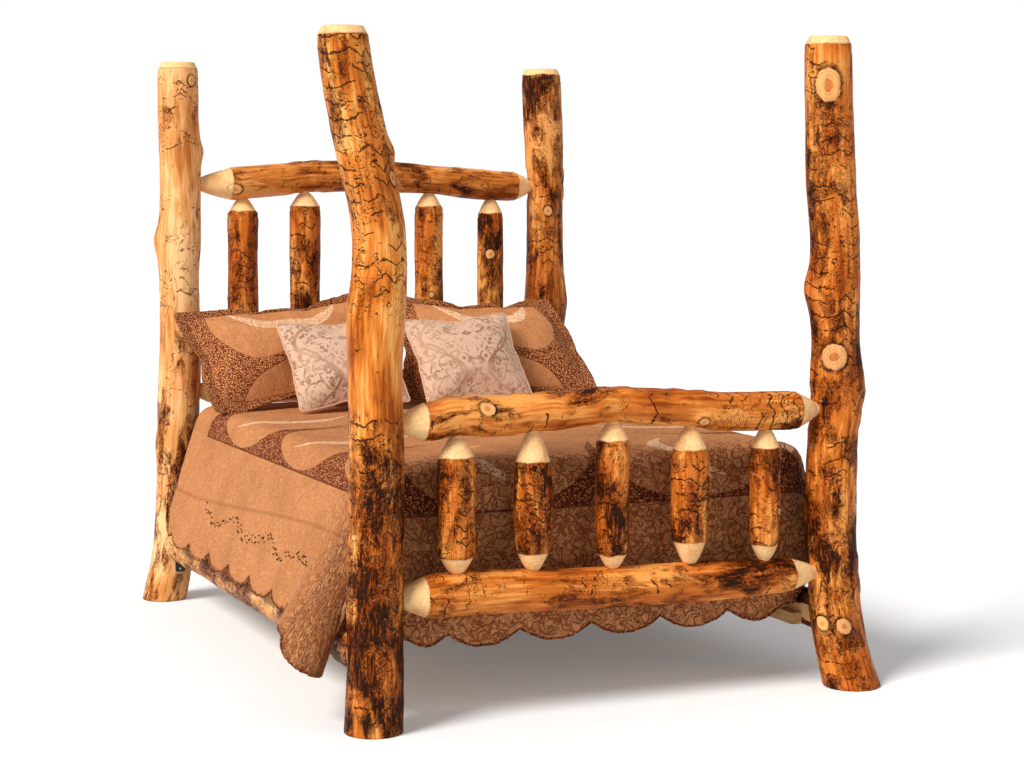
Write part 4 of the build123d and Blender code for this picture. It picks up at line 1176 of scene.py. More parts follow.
@dataclass
class LogFrame:
    """Posts, end rails, spindles and side rails."""

    bevel_width: float = 0.013
    bevel_height: float = 0.026
    spindle_segments: int = 64

    def build(self) -> list[Object]:
        """Build every log.

        Returns:
            The pieces.
        """
        tones = LOG_TONES.items()
        self.finishes = {name: PeeledLog(f"peeled_{name}", **tone).material() for name, tone in tones}
        pieces = self._posts() + self._end_rails() + self._spindles()
        for side, seed in (("left", 9.1), ("right", 9.7)):
            marks = LogMarks(
                knots=(Knot(-0.62, 60, 0.02), Knot(0.38, 150, 0.016), Knot(0.8, -120, 0.018)),
                # Bark is heaviest at the foot end, where the rail shows under the quilt's corner fold:
                # painted shade over real bark there; real bark elsewhere.
                bark=((-1.1, 1.1), (-0.97, 1.0), (-0.88, 0.5), (0.0, 0.62), (1.0, 0.55)),
                trails=((-1.0, 0.8), (1.0, 0.9)),
            )
            # The side rails take the lighter tone, painted light that stands in for the light the quilt keeps
            # off them.
            finish = self.finishes["tan"]
            rail = SideRail(f"side_rail_{side}", Run.LENGTHWISE, finish, marks, seed, segments=72)
            pieces.append(rail.build())
        return pieces

    def _posts(self) -> list[Object]:
        """The four posts, each with its own knots, bark and trails."""
        foot_left = LogMarks(
            knots=(Knot(1.685, -53, 0.013, 0.003, 1.8),),
            swellings=(Swelling(1.768, -21, 0.026, 0.012), Swelling(1.30, 150, 0.05, 0.004)),
            twigs=(Twig(0.577, -152, 0.008, 0.012),),
            bark=((0.0, 0.94), (0.35, 0.90), (0.60, 0.84), (0.84, 0.78), (0.95, 0.5), (1.05, 0.05),
                  (1.40, 0.08), (1.55, 0.35), (1.75, 0.55), (2.1, 0.60)),
            trails=((0.0, 0.7), (0.9, 0.85), (1.02, 0.45), (1.2, 0.40), (1.42, 0.9), (1.8, 1.0), (2.1, 0.9)),
        )
        foot_right = LogMarks(
            knots=(Knot(1.975, -123, 0.041, 0.004, 1.35), Knot(1.10, -125, 0.040, 0.007, 1.1),
                   Knot(0.219, -149, 0.020, 0.016), Knot(0.212, -109, 0.022, 0.014)),
            swellings=(Swelling(1.331, 148, 0.05, 0.016), Swelling(0.991, -33, 0.06, 0.013),
                       Swelling(0.55, 160, 0.05, 0.006)),
            bark=((0.0, 0.75), (0.5, 0.75), (0.9, 0.60), (1.3, 0.50), (1.7, 0.60), (2.1, 0.40)),
            trails=((0.0, 0.7), (0.6, 0.8), (1.2, 1.0), (1.9, 0.9), (2.1, 0.6)),
        )
        head_left = LogMarks(
            knots=(Knot(2.06, -64, 0.017, 0.003), Knot(0.13, -75, 0.016, 0.004)),
            swellings=(Swelling(1.786, -16, 0.03, 0.012), Swelling(1.438, 165, 0.04, 0.012),
                       Swelling(0.62, 170, 0.05, 0.007)),
            bark=((0.0, 0.5), (0.4, 0.62), (0.8, 0.5), (1.1, 0.3), (2.1, 0.15)),
            trails=((0.0, 0.4), (0.5, 0.6), (1.0, 0.6), (2.1, 0.75)),
        )
        head_right = LogMarks(
            knots=(Knot(1.544, -105, 0.017, 0.008), Knot(1.05, -60, 0.014)),
            swellings=(Swelling(1.16, -20, 0.05, 0.010), Swelling(2.05, -148, 0.04, 0.004)),
            bark=((0.0, 0.5), (1.0, 0.62), (1.9, 0.65), (2.1, 0.85)),
            trails=((0.0, 0.5), (2.1, 0.6)),
        )
        posts = (
            ("foot_left", "honey", foot_left, 1.0, 0.002), ("foot_right", "amber", foot_right, 2.0, 0.013),
            ("head_left", "butter", head_left, 3.0, 0.006), ("head_right", "russet", head_right, 4.0, 0.009),
        )
        made = []
        for name, tone, marks, seed, extra in posts:
            post = Post(f"post_{name}", Run.UPRIGHT, self.finishes[tone], marks, seed, extra_height=extra,
                        bevel_width=self.bevel_width, bevel_height=self.bevel_height)
            made.append(post.build())
        return made

    def _end_rails(self) -> list[Object]:
        """Top and bottom rails of the footboard and headboard."""
        rails = {
            "footboard_top_rail": ("amber", 5.1, LogMarks(
                knots=(Knot(-0.469, 156, 0.020, 0.008, 1.35), Knot(0.290, -145, 0.014, 0.007, 1.3)),
                bark=((-0.66, 0.6), (-0.5, 0.5), (0.0, 0.5), (0.4, 0.45), (0.66, 0.6)),
                trails=((-0.66, 0.8), (-0.4, 0.4), (0.2, 0.35), (0.45, 0.9), (0.66, 1.0)))),
            "footboard_bottom_rail": ("amber", 5.7, LogMarks(
                swellings=(Swelling(0.16, 175, 0.04, 0.008, 1.6),),
                bark=((-0.66, 0.35), (0.1, 0.45), (0.3, 0.6), (0.66, 0.62)),
                trails=((-0.66, 0.75), (-0.2, 0.4), (0.66, 0.6)))),
            "headboard_top_rail": ("russet", 6.3, LogMarks(
                knots=(Knot(-0.581, -160, 0.020, 0.006),),
                bark=((-0.66, 0.35), (0.2, 0.45), (0.66, 0.6)),
                trails=((-0.66, 0.5), (0.0, 0.7), (0.66, 0.6)))),
            "headboard_bottom_rail": ("amber", 6.9, LogMarks(
                knots=(Knot(0.31, 170, 0.018),), swellings=(Swelling(-0.2, 20, 0.05, 0.006),))),
        }
        made = []
        for name, (tone, seed, marks) in rails.items():
            made.append(DressedLog(name, Run.ACROSS, self.finishes[tone], marks, seed, tenons=True).build())
        return made

    def _spindles(self) -> list[Object]:
        """The five spindles of each end."""
        special = {
            "footboard_spindle_2": LogMarks(bark=((0.4, 0.74), (0.9, 0.72)), trails=((0.4, 1.0), (0.9, 1.0))),
            "footboard_spindle_3": LogMarks(bark=((0.4, 0.85), (0.9, 0.7)), trails=((0.4, 1.0), (0.9, 0.9))),
            "footboard_spindle_4": LogMarks(
                swellings=(Swelling(0.71, -29, 0.03, 0.008, 2.0),), bark=((0.4, 0.75), (0.9, 0.55)),
                trails=((0.4, 0.9), (0.9, 1.0))),
            "headboard_spindle_5": LogMarks(
                knots=(Knot(1.365, -113, 0.017, 0.010, 1.2),), bark=((0.9, 0.55), (1.6, 0.75)),
                trails=((0.9, 0.5), (1.6, 0.6))),
        }
        made = []
        for index in range(1, 6):
            for end in ("footboard", "headboard"):
                name = f"{end}_spindle_{index}"
                share = 0.56 + 0.09 * ((index * 2) % 3) - (0.14 if end == "headboard" else 0.0)
                plain = LogMarks(
                    knots=(Knot(0.6 if end == "footboard" else 1.2, 40.0 * index + 100, 0.010, 0.004),),
                    bark=((0.4, share), (1.6, share + 0.1)), trails=((0.4, 1.0), (1.6, 0.9)), lumps=1.3,
                )
                spindle = DressedLog(name, Run.UPRIGHT, self.finishes["amber"], special.get(name, plain),
                                     SPINDLE_SEED + index * 1.7, tenons=True, segments=self.spindle_segments)
                made.append(spindle.build())
        return made


@dataclass
class Hardware:
    """Carried-over pieces of the frame that keep their shape: boards, plates, screws and the pad."""

    ends: tuple[str, ...] = ("foot_left", "foot_right", "head_left", "head_right")
    slats: int = 5

    def dress(self) -> None:
        """Give each carried-over node its finish."""
        plates = [f"{kind}_plate_{end}" for kind in ("post", "hook") for end in self.ends]
        slats = [f"slat_{index}" for index in range(1, self.slats + 1)]
        dressed = (
            (PlanedBoard("pine_along", "Y"), ["ledger_left", "ledger_right"]),
            (PlanedBoard("pine_across", "X"), [*slats, "foundation_frame"]),
            (PlanedBoard("pine_upright", "Z"), ["support_leg"]),
            (CoatedSteel("black_coat"), plates),
            (ZincPlate("zinc_plate"), ["bracket_screws", "ledger_screws", "slat_screws"]),
            (PressedFelt("felt_pad"), ["leg_pad"]),
        )
        for finish, names in dressed:
            material = finish.material()
            for name in names:
                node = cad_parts[name]
                if not node.material_slots:
                    node.data.materials.append(material)
                for held in node.material_slots:
                    held.material = material
            LOG.info("%s: %d nodes dressed", finish.name, len(names))


# ---------- cloth finishes
@dataclass(frozen=True)
class PatchedCotton(Finish):
    """Quilted cotton: a calico field with plain lobes and pale crescents, in a plain border, with painted
    shade in its stitch grooves and crease.
    """

    half_width: float
    foot_edge: float
    head_edge: float
    side_period: float = 0.66
    foot_period: float = 0.72
    both_ends: bool = False
    lobe_start: float = 0.0
    lobe_phase: float = 0.0
    stitch_scale: float = 31.0
    stitch_depth: float = 0.0075
    plain: Colour = srgb(205, 136, 84)
    ground: Colour = srgb(112, 46, 14)
    fleck: Colour = srgb(222, 152, 98)
    cream: Colour = srgb(240, 198, 158)
    # thread: colour of the random fading in the plain cloth, and the colour that the painted shade of the
    # stitch grooves and the side crease is multiplied towards.
    thread: Colour = srgb(150, 88, 48)
    # crease_at: where across the cloth the painted shade line of the side drop's crease lies.
    crease_at: float = 1.04
    calm_edge: float = -0.72

    def painted(self, g: Graph) -> Inputs:
        """Paint the finish; see Finish."""
        cloth = g.attribute("cloth", "Vector")
        across, along, _ = g.parts(cloth)
        side_in = self.half_width - abs(across)
        foot_in = along + self.foot_edge
        head_in = self.head_edge - along
        sides = g.place("lobes", Along=along + self.lobe_phase, Inward=side_in - self.lobe_start,
                        Period=self.side_period)
        feet = g.place("lobes", Along=across, Inward=foot_in, Period=self.foot_period)
        to_side = 1.0 if self.both_ends else g.math("LESS_THAN", side_in, foot_in)
        masks = ("Lobe", "Seam", "Crescent")
        lobe, seam, crescent = (self._chosen(to_side, sides, feet, name) for name in masks)
        nearest = g.math("MINIMUM", g.math("MINIMUM", side_in, foot_in), head_in)
        field_in = g.rise(nearest, -0.0005, 0.0005)
        edge = g.fall(abs(nearest), 0.001, 0.004)
        calico = g.place("calico", Place=cloth, Scale=152.0, Ground=self.ground, Fleck=self.fleck)
        specks = g.place("calico", Place=cloth, Scale=120.0, Ground=self.cream, Fleck=self.plain)
        weave = g.place("weave", Place=cloth, Threads=420.0)
        plain = g.mix(weave["Slub"] * 0.35, self.plain, self.cream)
        fade = g.noise(cloth, 5.0, 3.0, 0.6)
        plain = g.mix(g.rise(fade, 0.35, 0.7, 0.0, 0.30), plain, self.thread)
        colour = g.mix(field_in * (1.0 - lobe), plain, calico["Colour"])
        shown = field_in * lobe * crescent
        colour = g.mix(shown, colour, specks["Colour"])
        stitches = g.place("stitches", Place=cloth, Scale=self.stitch_scale)
        marked = g.math("MAXIMUM", edge * 0.8, seam * field_in * 0.6)
        colour = g.mix(marked, colour, self.ground)
        # Painted shade: the low places between the stitched puffs are darkened towards the thread colour,
        # most on the foot drop; the share below scales both this painted shade and the stitched bump.
        relief_and_shade = g.rise(along, -1.0, self.calm_edge, 1.0, 0.30)
        low = g.rise(stitches["Height"], 0.0, 0.42, 0.8, 0.0) * relief_and_shade
        # Painted shade: a dark line along the side drop's pressed crease, where the fold lies in shade; the
        # cloth is creased there in its shape too.
        level = self.crease_at + g.math("SINE", along * 1.7) * 0.05
        fold = abs(abs(across) - level)
        low = g.math("MAXIMUM", low, g.rise(fold, 0.001, 0.014, 0.34, 0.0))
        height = stitches["Height"] * relief_and_shade
        height = height + weave["Height"] * 0.03
        height = height - marked * 0.4
        return {
            # The painted shade of the grooves and the side crease is multiplied into the colour here.
            "Base Color": g.mix(low, colour, self.thread, "MULTIPLY"),
            "Roughness": 0.86,
            "Specular IOR Level": 0.2,
            "Normal": g.bump(height, self.stitch_depth),
        }

    def _chosen(self, to_side: Value, sides: Signals, feet: Signals, name: str) -> Signal:
        """A mask of the nearer border's lobes."""
        if self.both_ends:
            return sides[name]
        return to_side * sides[name] + (1.0 - to_side) * feet[name]


@dataclass(frozen=True)
class PrintedCotton(Finish):
    """Small-figured cotton for bindings, flanges and piping."""

    ground: Colour = srgb(112, 46, 14)
    fleck: Colour = srgb(222, 152, 98)
    scale: float = 152.0

    def painted(self, g: Graph) -> Inputs:
        """Paint the finish; see Finish."""
        cloth = g.attribute("cloth", "Vector")
        calico = g.place("calico", Place=cloth, Scale=self.scale, Ground=self.ground, Fleck=self.fleck)
        weave = g.place("weave", Place=cloth, Threads=420.0)
        return {
            "Base Color": calico["Colour"],
            "Roughness": 0.88,
            "Specular IOR Level": 0.2,
            "Normal": g.bump(weave["Height"], 0.0005),
        }


@dataclass(frozen=True)
class PlainCotton(Finish):
    """Plain woven cotton for the quilt's back, the mattress and the foundation."""

    colour: Colour = srgb(206, 150, 104)
    slub: Colour = srgb(232, 190, 150)
    quilting: float = 0.0
    quilt_scale: float = 9.0

    def painted(self, g: Graph) -> Inputs:
        """Paint the finish; see Finish."""
        place = g.object_place()
        weave = g.place("weave", Place=place, Threads=380.0)
        height = weave["Height"] * 0.05
        if self.quilting:
            stitches = g.place("stitches", Place=place, Scale=self.quilt_scale)
            height = height + stitches["Height"]
        return {
            "Base Color": g.mix(weave["Slub"], self.colour, self.slub),
            "Roughness": 0.9,
            "Normal": g.bump(height, max(self.quilting, 0.001)),
        }


@dataclass(frozen=True)
class Damask(Finish):
    """Tone-on-tone cotton with a mirrored figure of leaves in an ogee frame."""

    ground: Colour = srgb(220, 180, 152)
    figure: Colour = srgb(158, 106, 76)
    haze: Colour = srgb(198, 150, 122)
    repeat: float = 0.235

    def painted(self, g: Graph) -> Inputs:
        """Paint the finish; see Finish."""
        cloth = g.attribute("cloth", "Vector")
        across, along, _ = g.parts(cloth)
        mirrored = g.math("PINGPONG", across + self.repeat * 4, self.repeat)
        folded = g.joined(mirrored, along)
        leaves = g.noise(folded, 25.0, 2.0, 0.5, 2.2)
        veins = g.noise(folded, 50.0, 2.0, 0.5, 1.8)
        wave = g.math("SINE", along * 19.0)
        frame_line = abs(mirrored - (wave * 0.07 + 0.117))
        frame_line = g.fall(frame_line, 0.006, 0.01)
        leaf = g.rise(leaves, 0.53, 0.545) * g.fall(leaves, 0.66, 0.675)
        cut = g.rise(abs(veins - 0.5), 0.008, 0.02)
        figure = g.math("MAXIMUM", leaf * cut, frame_line * 0.8)
        patch = g.rise(g.noise(cloth, 6.0, 2.0, 0.5), 0.40, 0.60, 0.45, 1.0)
        weave = g.place("weave", Place=cloth, Threads=520.0)
        ground = g.mix(weave["Slub"] * 0.4, self.ground, self.haze)
        height = weave["Height"] * 0.3 + figure
        return {
            "Base Color": g.mix(figure * patch, ground, self.figure),
            "Roughness": 0.7,
            "Sheen Weight": 0.06,
            "Normal": g.bump(height, 0.0007),
        }


# ---------- the quilt
@dataclass(frozen=True)
class Strand:
    """One line of the cloth, from the bed's edge down to the hem."""

    start: Vector
    heading: Vector
    lean: Vector
    fall: Vector
    hem: float
    cloth_start: Pair
    cloth_heading: Pair


def through_hem(points: Sequence[tuple[float, ...]], turn: float) -> Vector:
    """Smooth course of a corner's hem through the given points.

    Args:
        points: at least two, each a turn and its place, in order of their turn.
        turn: bearing in degrees, 0 at the side and 90 at the foot.

    Returns:
        The end of the cloth at that bearing, on the right of the bed.
    """
    last = len(points) - 1
    index = next((i for i in range(last - 1) if turn <= points[i + 1][0]), last - 1)
    near = (points[max(index - 1, 0)], points[index], points[index + 1], points[min(index + 2, last)])
    before, low, high, after = (Vector(point[1:]) for point in near)
    share = (turn - near[1][0]) / (near[2][0] - near[1][0])
    square, cube = share**2, share**3
    start = (2 * cube - 3 * square + 1) * low + (cube - 2 * square + share) * (high - before) / 2
    return start + (3 * square - 2 * cube) * high + (cube - square) * (after - low) / 2


LEFT_CORNER = (
    (0, 1.040, -0.915, 0.276), (8, 1.054, -0.955, 0.247), (15, 1.052, -0.992, 0.222),
    (22, 1.035, -1.018, 0.200), (30, 1.008, -1.028, 0.181), (38, 0.980, -1.027, 0.168),
    (46, 0.956, -1.016, 0.160), (53, 0.940, -0.998, 0.159), (59, 0.932, -0.985, 0.170),
    (65, 0.928, -0.984, 0.205), (69, 0.921, -0.985, 0.256), (73, 0.905, -0.988, 0.316),
    (77, 0.877, -0.996, 0.338), (81, 0.845, -1.008, 0.338), (85, 0.785, -1.020, 0.332),
    (90, 0.712, -1.038, 0.262),
)
RIGHT_CORNER = (
    (0, 0.940, -0.950, 0.300), (20, 0.968, -0.985, 0.270), (38, 0.972, -1.005, 0.225),
    (52, 0.950, -1.005, 0.185), (62, 0.930, -0.990, 0.178), (70, 0.924, -1.015, 0.210),
    (75, 0.918, -1.022, 0.276), (80, 0.866, -1.016, 0.334), (85, 0.785, -1.022, 0.330),
    (90, 0.712, -1.038, 0.262),
)


@dataclass
class DrapedQuilt:
    """Quilt that lies on the mattress and falls over both sides and the foot."""

    flat: Pair = (2.49, 2.49)
    half_width: float = 0.712
    foot: float = -0.950
    head: float = 0.940
    top: float = 0.7932
    roll: float = 0.078
    side_lean: float = 0.3145
    side_reach: float = 0.927
    flare_from: float = 0.10
    flare_to: float = 0.46
    aim_gain: float = 2.0
    across_cells: int = 102
    along_cells: int = 135
    fan_cells: int = 72
    fall_cells: int = 42
    march: float = 0.004
    thickness: float = 0.010
    scallop: float = 0.25
    side_hem: Pair = (0.285, 0.325)
    foot_hem: Pair = (0.216, 0.262)
    first_peak: float = 0.82
    puff: float = 0.0016
    sag: float = 0.0045
    crease: float = 0.0030
    creases_along: tuple[float, ...] = (0.60, 0.13, -0.33)
    binding_radius: float = 0.0035

    def build(self) -> list[Object]:
        """Drape, wrinkle and bind the quilt.

        Returns:
            The quilt and the pieces on it.
        """
        mesh = bmesh.new()
        self.cloth = mesh.verts.layers.float_vector.new("cloth")
        self.loose = mesh.verts.layers.float.new("loose")
        self._lay_top(mesh)
        self.strands = self._strands()
        self._hang(mesh)
        bmesh.ops.remove_doubles(mesh, verts=mesh.verts, dist=1e-5)
        bmesh.ops.recalc_face_normals(mesh, faces=mesh.faces)
        self._wrinkle(mesh)
        face = PatchedCotton("quilt_face", half_width=0.855, foot_edge=1.155, head_edge=0.74).material()
        back = PlainCotton("quilt_back").material()
        quilt = make_piece("draped_quilt", mesh, [face, back])
        body = quilt.modifiers.new("thickness", "SOLIDIFY")
        body.thickness = self.thickness
        body.offset = -1.0
        body.material_offset = 1
        binding = self._bind()
        vine = self._embroider()
        settle(quilt, Body.MATTRESS, "quilt_cloth", "quilt")
        for piece in (binding, vine):
            settle(piece, Body.MATTRESS, "quilt_cloth")
        return [quilt, binding, vine]

    def _lay_top(self, mesh: BMesh) -> None:
        """Lay the part that rests on the mattress."""
        cells = {"x_segments": self.across_cells, "y_segments": self.along_cells}
        made = bmesh.ops.create_grid(mesh, size=1.0, **cells)
        for vert in made["verts"]:
            x = vert.co.x * self.half_width
            y = self.foot + (vert.co.y + 1) / 2 * (self.head - self.foot)
            vert.co = (x, y, self.top)
            vert[self.cloth] = Vector((x, y, 0.0))

    def _hem_height(self, along: float, levels: Pair, peak: float, sharp: float) -> float:
        """Height of a scalloped hem: round lobes that meet in peaks."""
        low, high = levels
        share = abs(((along - peak) / self.scallop) % 1.0 - 0.5) * 2
        return low + (high - low) * share**sharp

    def _strands(self) -> list[Strand]:
        """Lines of the cloth from the head on the left, round the foot, to the head on the right."""
        strands = []
        for side in (-1, 1):
            corner = LEFT_CORNER if side < 0 else RIGHT_CORNER
            first = Vector(corner[0][1:])
            flank = []
            for index in range(self.along_cells + 1):
                y = self.head - (self.head - self.foot) * index / self.along_cells
                hem = self._hem_height(y, self.side_hem, self.first_peak, 3.2)
                hem = hem + (first.z - hem) * smooth_share(y, self.foot + 0.16, self.foot)
                lip = smooth_share(y, self.head - 0.13, self.head)
                hem += 0.10 * lip * lip
                lean = Vector((side * self.side_lean, 0.02 * lip, -1.0)).normalized()
                near = smooth_share(y, self.foot + 0.40, self.foot)
                plain = self.side_reach + (first.z - hem) * self.side_lean
                aim = Vector((side * (plain + (first.x - self.side_reach) * near), y, hem))
                aim.y += (first.y - self.foot) * near
                flank.append(self._strand(side * self.half_width, y, (side, 0.0), lean, aim, near > 0))
            for index in range(1, self.fan_cells):
                turn = 90 * index / self.fan_cells
                angle = radians(turn)
                heading = (side * cos(angle), -sin(angle))
                lean = Vector((heading[0] * self.side_lean, heading[1] * 0.03, -1.0)).normalized()
                aim = through_hem(corner, turn)
                aim.x *= side
                flank.append(self._strand(side * self.half_width, self.foot, heading, lean, aim, True))
            if side < 0:
                strands += flank
                strands += self._foot_strands()
            else:
                strands += reversed(flank)
        return strands

    def _foot_strands(self) -> list[Strand]:
        """Lines of the cloth that fall over the foot."""
        strands = []
        last = Vector(LEFT_CORNER[-1][1:])
        for index in range(self.across_cells + 1):
            x = self.half_width * (2 * index / self.across_cells - 1)
            hem = self._hem_height(x, self.foot_hem, self.half_width, 2.0)
            near = smooth_share(abs(x), self.half_width - 0.14, self.half_width)
            hem += (last.z - hem) * near
            lean = Vector((0.0, -0.03, -1.0)).normalized()
            aim = Vector((x, last.y, hem))
            strands.append(self._strand(x, self.foot, (0.0, -1.0), lean, aim, False))
        return strands

    def _strand(self, x: float, y: float, heading: Pair, lean: Vector, aim: Vector,
                aimed: bool) -> Strand:
        """One line from its start on the bed's edge, turned in a few tries so that it ends at its aim."""
        fall = lean.copy()
        start = Vector((x, y, self.top))
        outward = Vector((*heading, 0.0))
        for _ in range(7 if aimed else 0):
            strand = Strand(start, outward, lean, fall, aim.z, (x, y), heading)
            fall = (fall + (aim - self._course(strand)[-1]) * self.aim_gain).normalized()
        return Strand(start, outward, lean, fall, aim.z, (x, y), heading)

    def _course(self, strand: Strand) -> list[Vector]:
        """Points of a line a short march apart, down to its hem."""
        arc = self.roll * strand.heading.angle(strand.lean)
        points = [strand.start.copy()]
        gone = 0.0
        while points[-1].z > strand.hem and len(points) < 400:
            course = strand.heading.slerp(strand.lean, min(gone / arc, 1.0))
            course = course.lerp(strand.fall, smooth_share(gone, self.flare_from, self.flare_to))
            points.append(points[-1] + course.normalized() * self.march)
            gone += self.march
        return points

    def _hang(self, mesh: BMesh) -> None:
        """Hang the cloth from the bed's edge along its lines."""
        columns = len(self.strands) - 1
        made = bmesh.ops.create_grid(mesh, x_segments=columns, y_segments=self.fall_cells, size=1.0)
        courses = [self._course(strand) for strand in self.strands]
        for vert in made["verts"]:
            column = round((vert.co.x + 1) / 2 * columns)
            share = (vert.co.y + 1) / 2
            vert.co, cloth = self._on_strand(column, share, courses)
            vert[self.cloth] = cloth
            vert[self.loose] = share
        self.courses = courses
        self.hem_line = [course[-1] for course in courses]

    def _on_strand(self, column: int, share: float, courses: list[list[Vector]]) -> tuple[Vector, Vector]:
        """Place in the room and on the flat cloth, at a share of a line's length."""
        strand, course = self.strands[column], courses[column]
        reach = share * (len(course) - 1)
        low = min(int(reach), len(course) - 2)
        place = course[low].lerp(course[low + 1], reach - low)
        gone = reach * self.march
        cloth = Vector((strand.cloth_start[0] + strand.cloth_heading[0] * gone,
                        strand.cloth_start[1] + strand.cloth_heading[1] * gone, 0.0))
        return place, cloth

    def _wrinkle(self, mesh: BMesh) -> None:
        """Raise puffs and sags, and press the creases of the folded cloth."""
        moves = {}
        for vert in mesh.verts:
            cloth, loose = vert[self.cloth], vert[self.loose]
            corner = smooth_share(min(abs(cloth.x) - self.half_width, self.foot - cloth.y), -0.10, 0.06)
            puff = noise.noise(cloth * 38.0) * self.puff * (0.6 + 1.4 * corner)
            sag = noise_at(cloth.x * 2.2, cloth.y * 4.5, 3.0) * self.sag * (0.25 + loose)
            wave = noise_at(cloth.x * 7.0, cloth.y * 7.0, 9.0) * 0.0022
            lift = puff + sag * smooth_share(loose, 0.0, 0.3) + wave
            for place in self.creases_along:
                lift += self.crease * 0.45 * crest(cloth.y, place, 0.007)
            level = 1.03 + 0.05 * sin(cloth.y * 1.7)
            lift -= self.crease * crest(abs(cloth.x), level, 0.009) * (1 - corner)
            foot_level = 1.30 + 0.015 * sin(cloth.x * 3.1)
            lift -= self.crease * 0.8 * crest(-cloth.y, foot_level, 0.009) * (1 - corner)
            moves[vert] = vert.normal * max(lift, -0.004)
        for vert, move in moves.items():
            vert.co += move

    def _bind(self) -> Object:
        """Sew a round binding along the whole hem."""
        mesh = bmesh.new()
        layer = mesh.verts.layers.float_vector.new("cloth")
        sweep_tube(mesh, self.hem_line, self.binding_radius, 8, layer)
        return make_piece("hem_binding", mesh, [PrintedCotton("binding_calico").material()])

    def _surface(self, y: float, gone: float) -> tuple[Vector, Vector]:
        """Point and outward direction on the left side, at a distance down from the bed's edge."""
        column = (self.head - y) / (self.head - self.foot) * self.along_cells
        low = min(max(int(column), 0), self.along_cells - 1)
        places = []
        for index in (low, low + 1):
            course = self.courses[index]
            step = min(int(gone / self.march), len(course) - 2)
            places.append(course[step].lerp(course[step + 1], gone / self.march - step))
        place = places[0].lerp(places[1], column - low)
        fall = self.strands[low].fall
        return place, Vector((-1.0, 0.0, 0.0)) * -fall.z + Vector((0.0, 0.0, 1.0)) * -fall.x

    def _embroider(self) -> Object:
        """Stitch a running vine with small leaves along the left side."""
        mesh = bmesh.new()
        layer = mesh.verts.layers.float_vector.new("cloth")
        chance = noise.random_unit_vector
        noise.seed_set(7)
        place, stop, turn = 0.50, -0.76, 0.0
        while place > stop:
            phase = ((0.50 - place) / 0.385) % 1.0
            bend = phase / 0.35 if phase < 0.35 else (1 - phase) / 0.65
            level = 0.385 + 0.045 * bend + 0.016 * chance().x
            centre, outward = self._surface(place, level)
            centre = centre + outward.normalized() * 0.0030
            down = -0.5 if phase < 0.35 else 0.35
            along = Vector((0.0, -1.0, down + 0.5 * chance().y)).normalized()
            size = 0.006 if turn % 4 < 3 else 0.011
            turned = Matrix.Translation(centre) @ along.to_track_quat("X", "Z").to_matrix().to_4x4()
            flat = turned @ Matrix.Diagonal((size, 0.0023, 0.0020, 1.0))
            bmesh.ops.create_icosphere(mesh, subdivisions=2, radius=1.0, matrix=flat)
            place -= 0.016 + 0.006 * chance().z
            turn += 1
        for vert in mesh.verts:
            vert[layer] = vert.co.copy()
        dark = PrintedCotton("vine_thread", ground=srgb(44, 20, 14), fleck=srgb(84, 48, 34), scale=600.0)
        return make_piece("vine_stitches", mesh, [dark.material()])


def sweep_tube(mesh: BMesh, points: Sequence[Vector], radius: float, sides: int, layer: object,
               closed: bool = False) -> None:
    """Draw a round tube along a line of points.

    Args:
        mesh: mesh to add it to.
        points: middle line, in order.
        radius: radius of the tube.
        sides: sides of its section.
        layer: vector attribute that gets the place along and around the tube, in metres.
        closed: whether the last point joins the first.
    """
    count = len(points)
    rings = []
    gone = 0.0
    side = Vector((0.0, 0.0, 1.0))
    for index, point in enumerate(points):
        after = points[(index + 1) % count] if closed else points[min(index + 1, count - 1)]
        before = points[index - 1] if closed or index else points[0]
        along = (after - before).normalized()
        side = (side - along * side.dot(along)).normalized()
        other = along.cross(side)
        ring = []
        for step in range(sides):
            angle = tau * step / sides
            vert = mesh.verts.new(point + (side * cos(angle) + other * sin(angle)) * radius)
            vert[layer] = Vector((gone, angle * radius, 0.0))
            ring.append(vert)
        gone += (after - point).length
        rings.append(ring)
    pairs = zip(rings, rings[1:] + rings[:1]) if closed else zip(rings, rings[1:])
    for first, second in pairs:
        for step in range(sides):
            mesh.faces.new((first[step], first[(step + 1) % sides], second[(step + 1) % sides], second[step]))
    if not closed:
        mesh.faces.new(reversed(rings[0]))
        mesh.faces.new(rings[-1])


# ---------- pillows, mattress and foundation
TICKING_CLOTH = {
    "quality": 6, "mass": 0.25, "use_pressure": True, "uniform_pressure_force": 4.0, "tension_stiffness": 25,
    "compression_stiffness": 18, "shear_stiffness": 8, "bending_stiffness": 0.4,
}
BORDER_SECTION = (
    (-0.15, 1), (0.35, 1), (0.7, 1), (1.0, 0.6), (1.0, -0.6), (0.7, -1), (0.35, -1), (-0.15, -1),
)


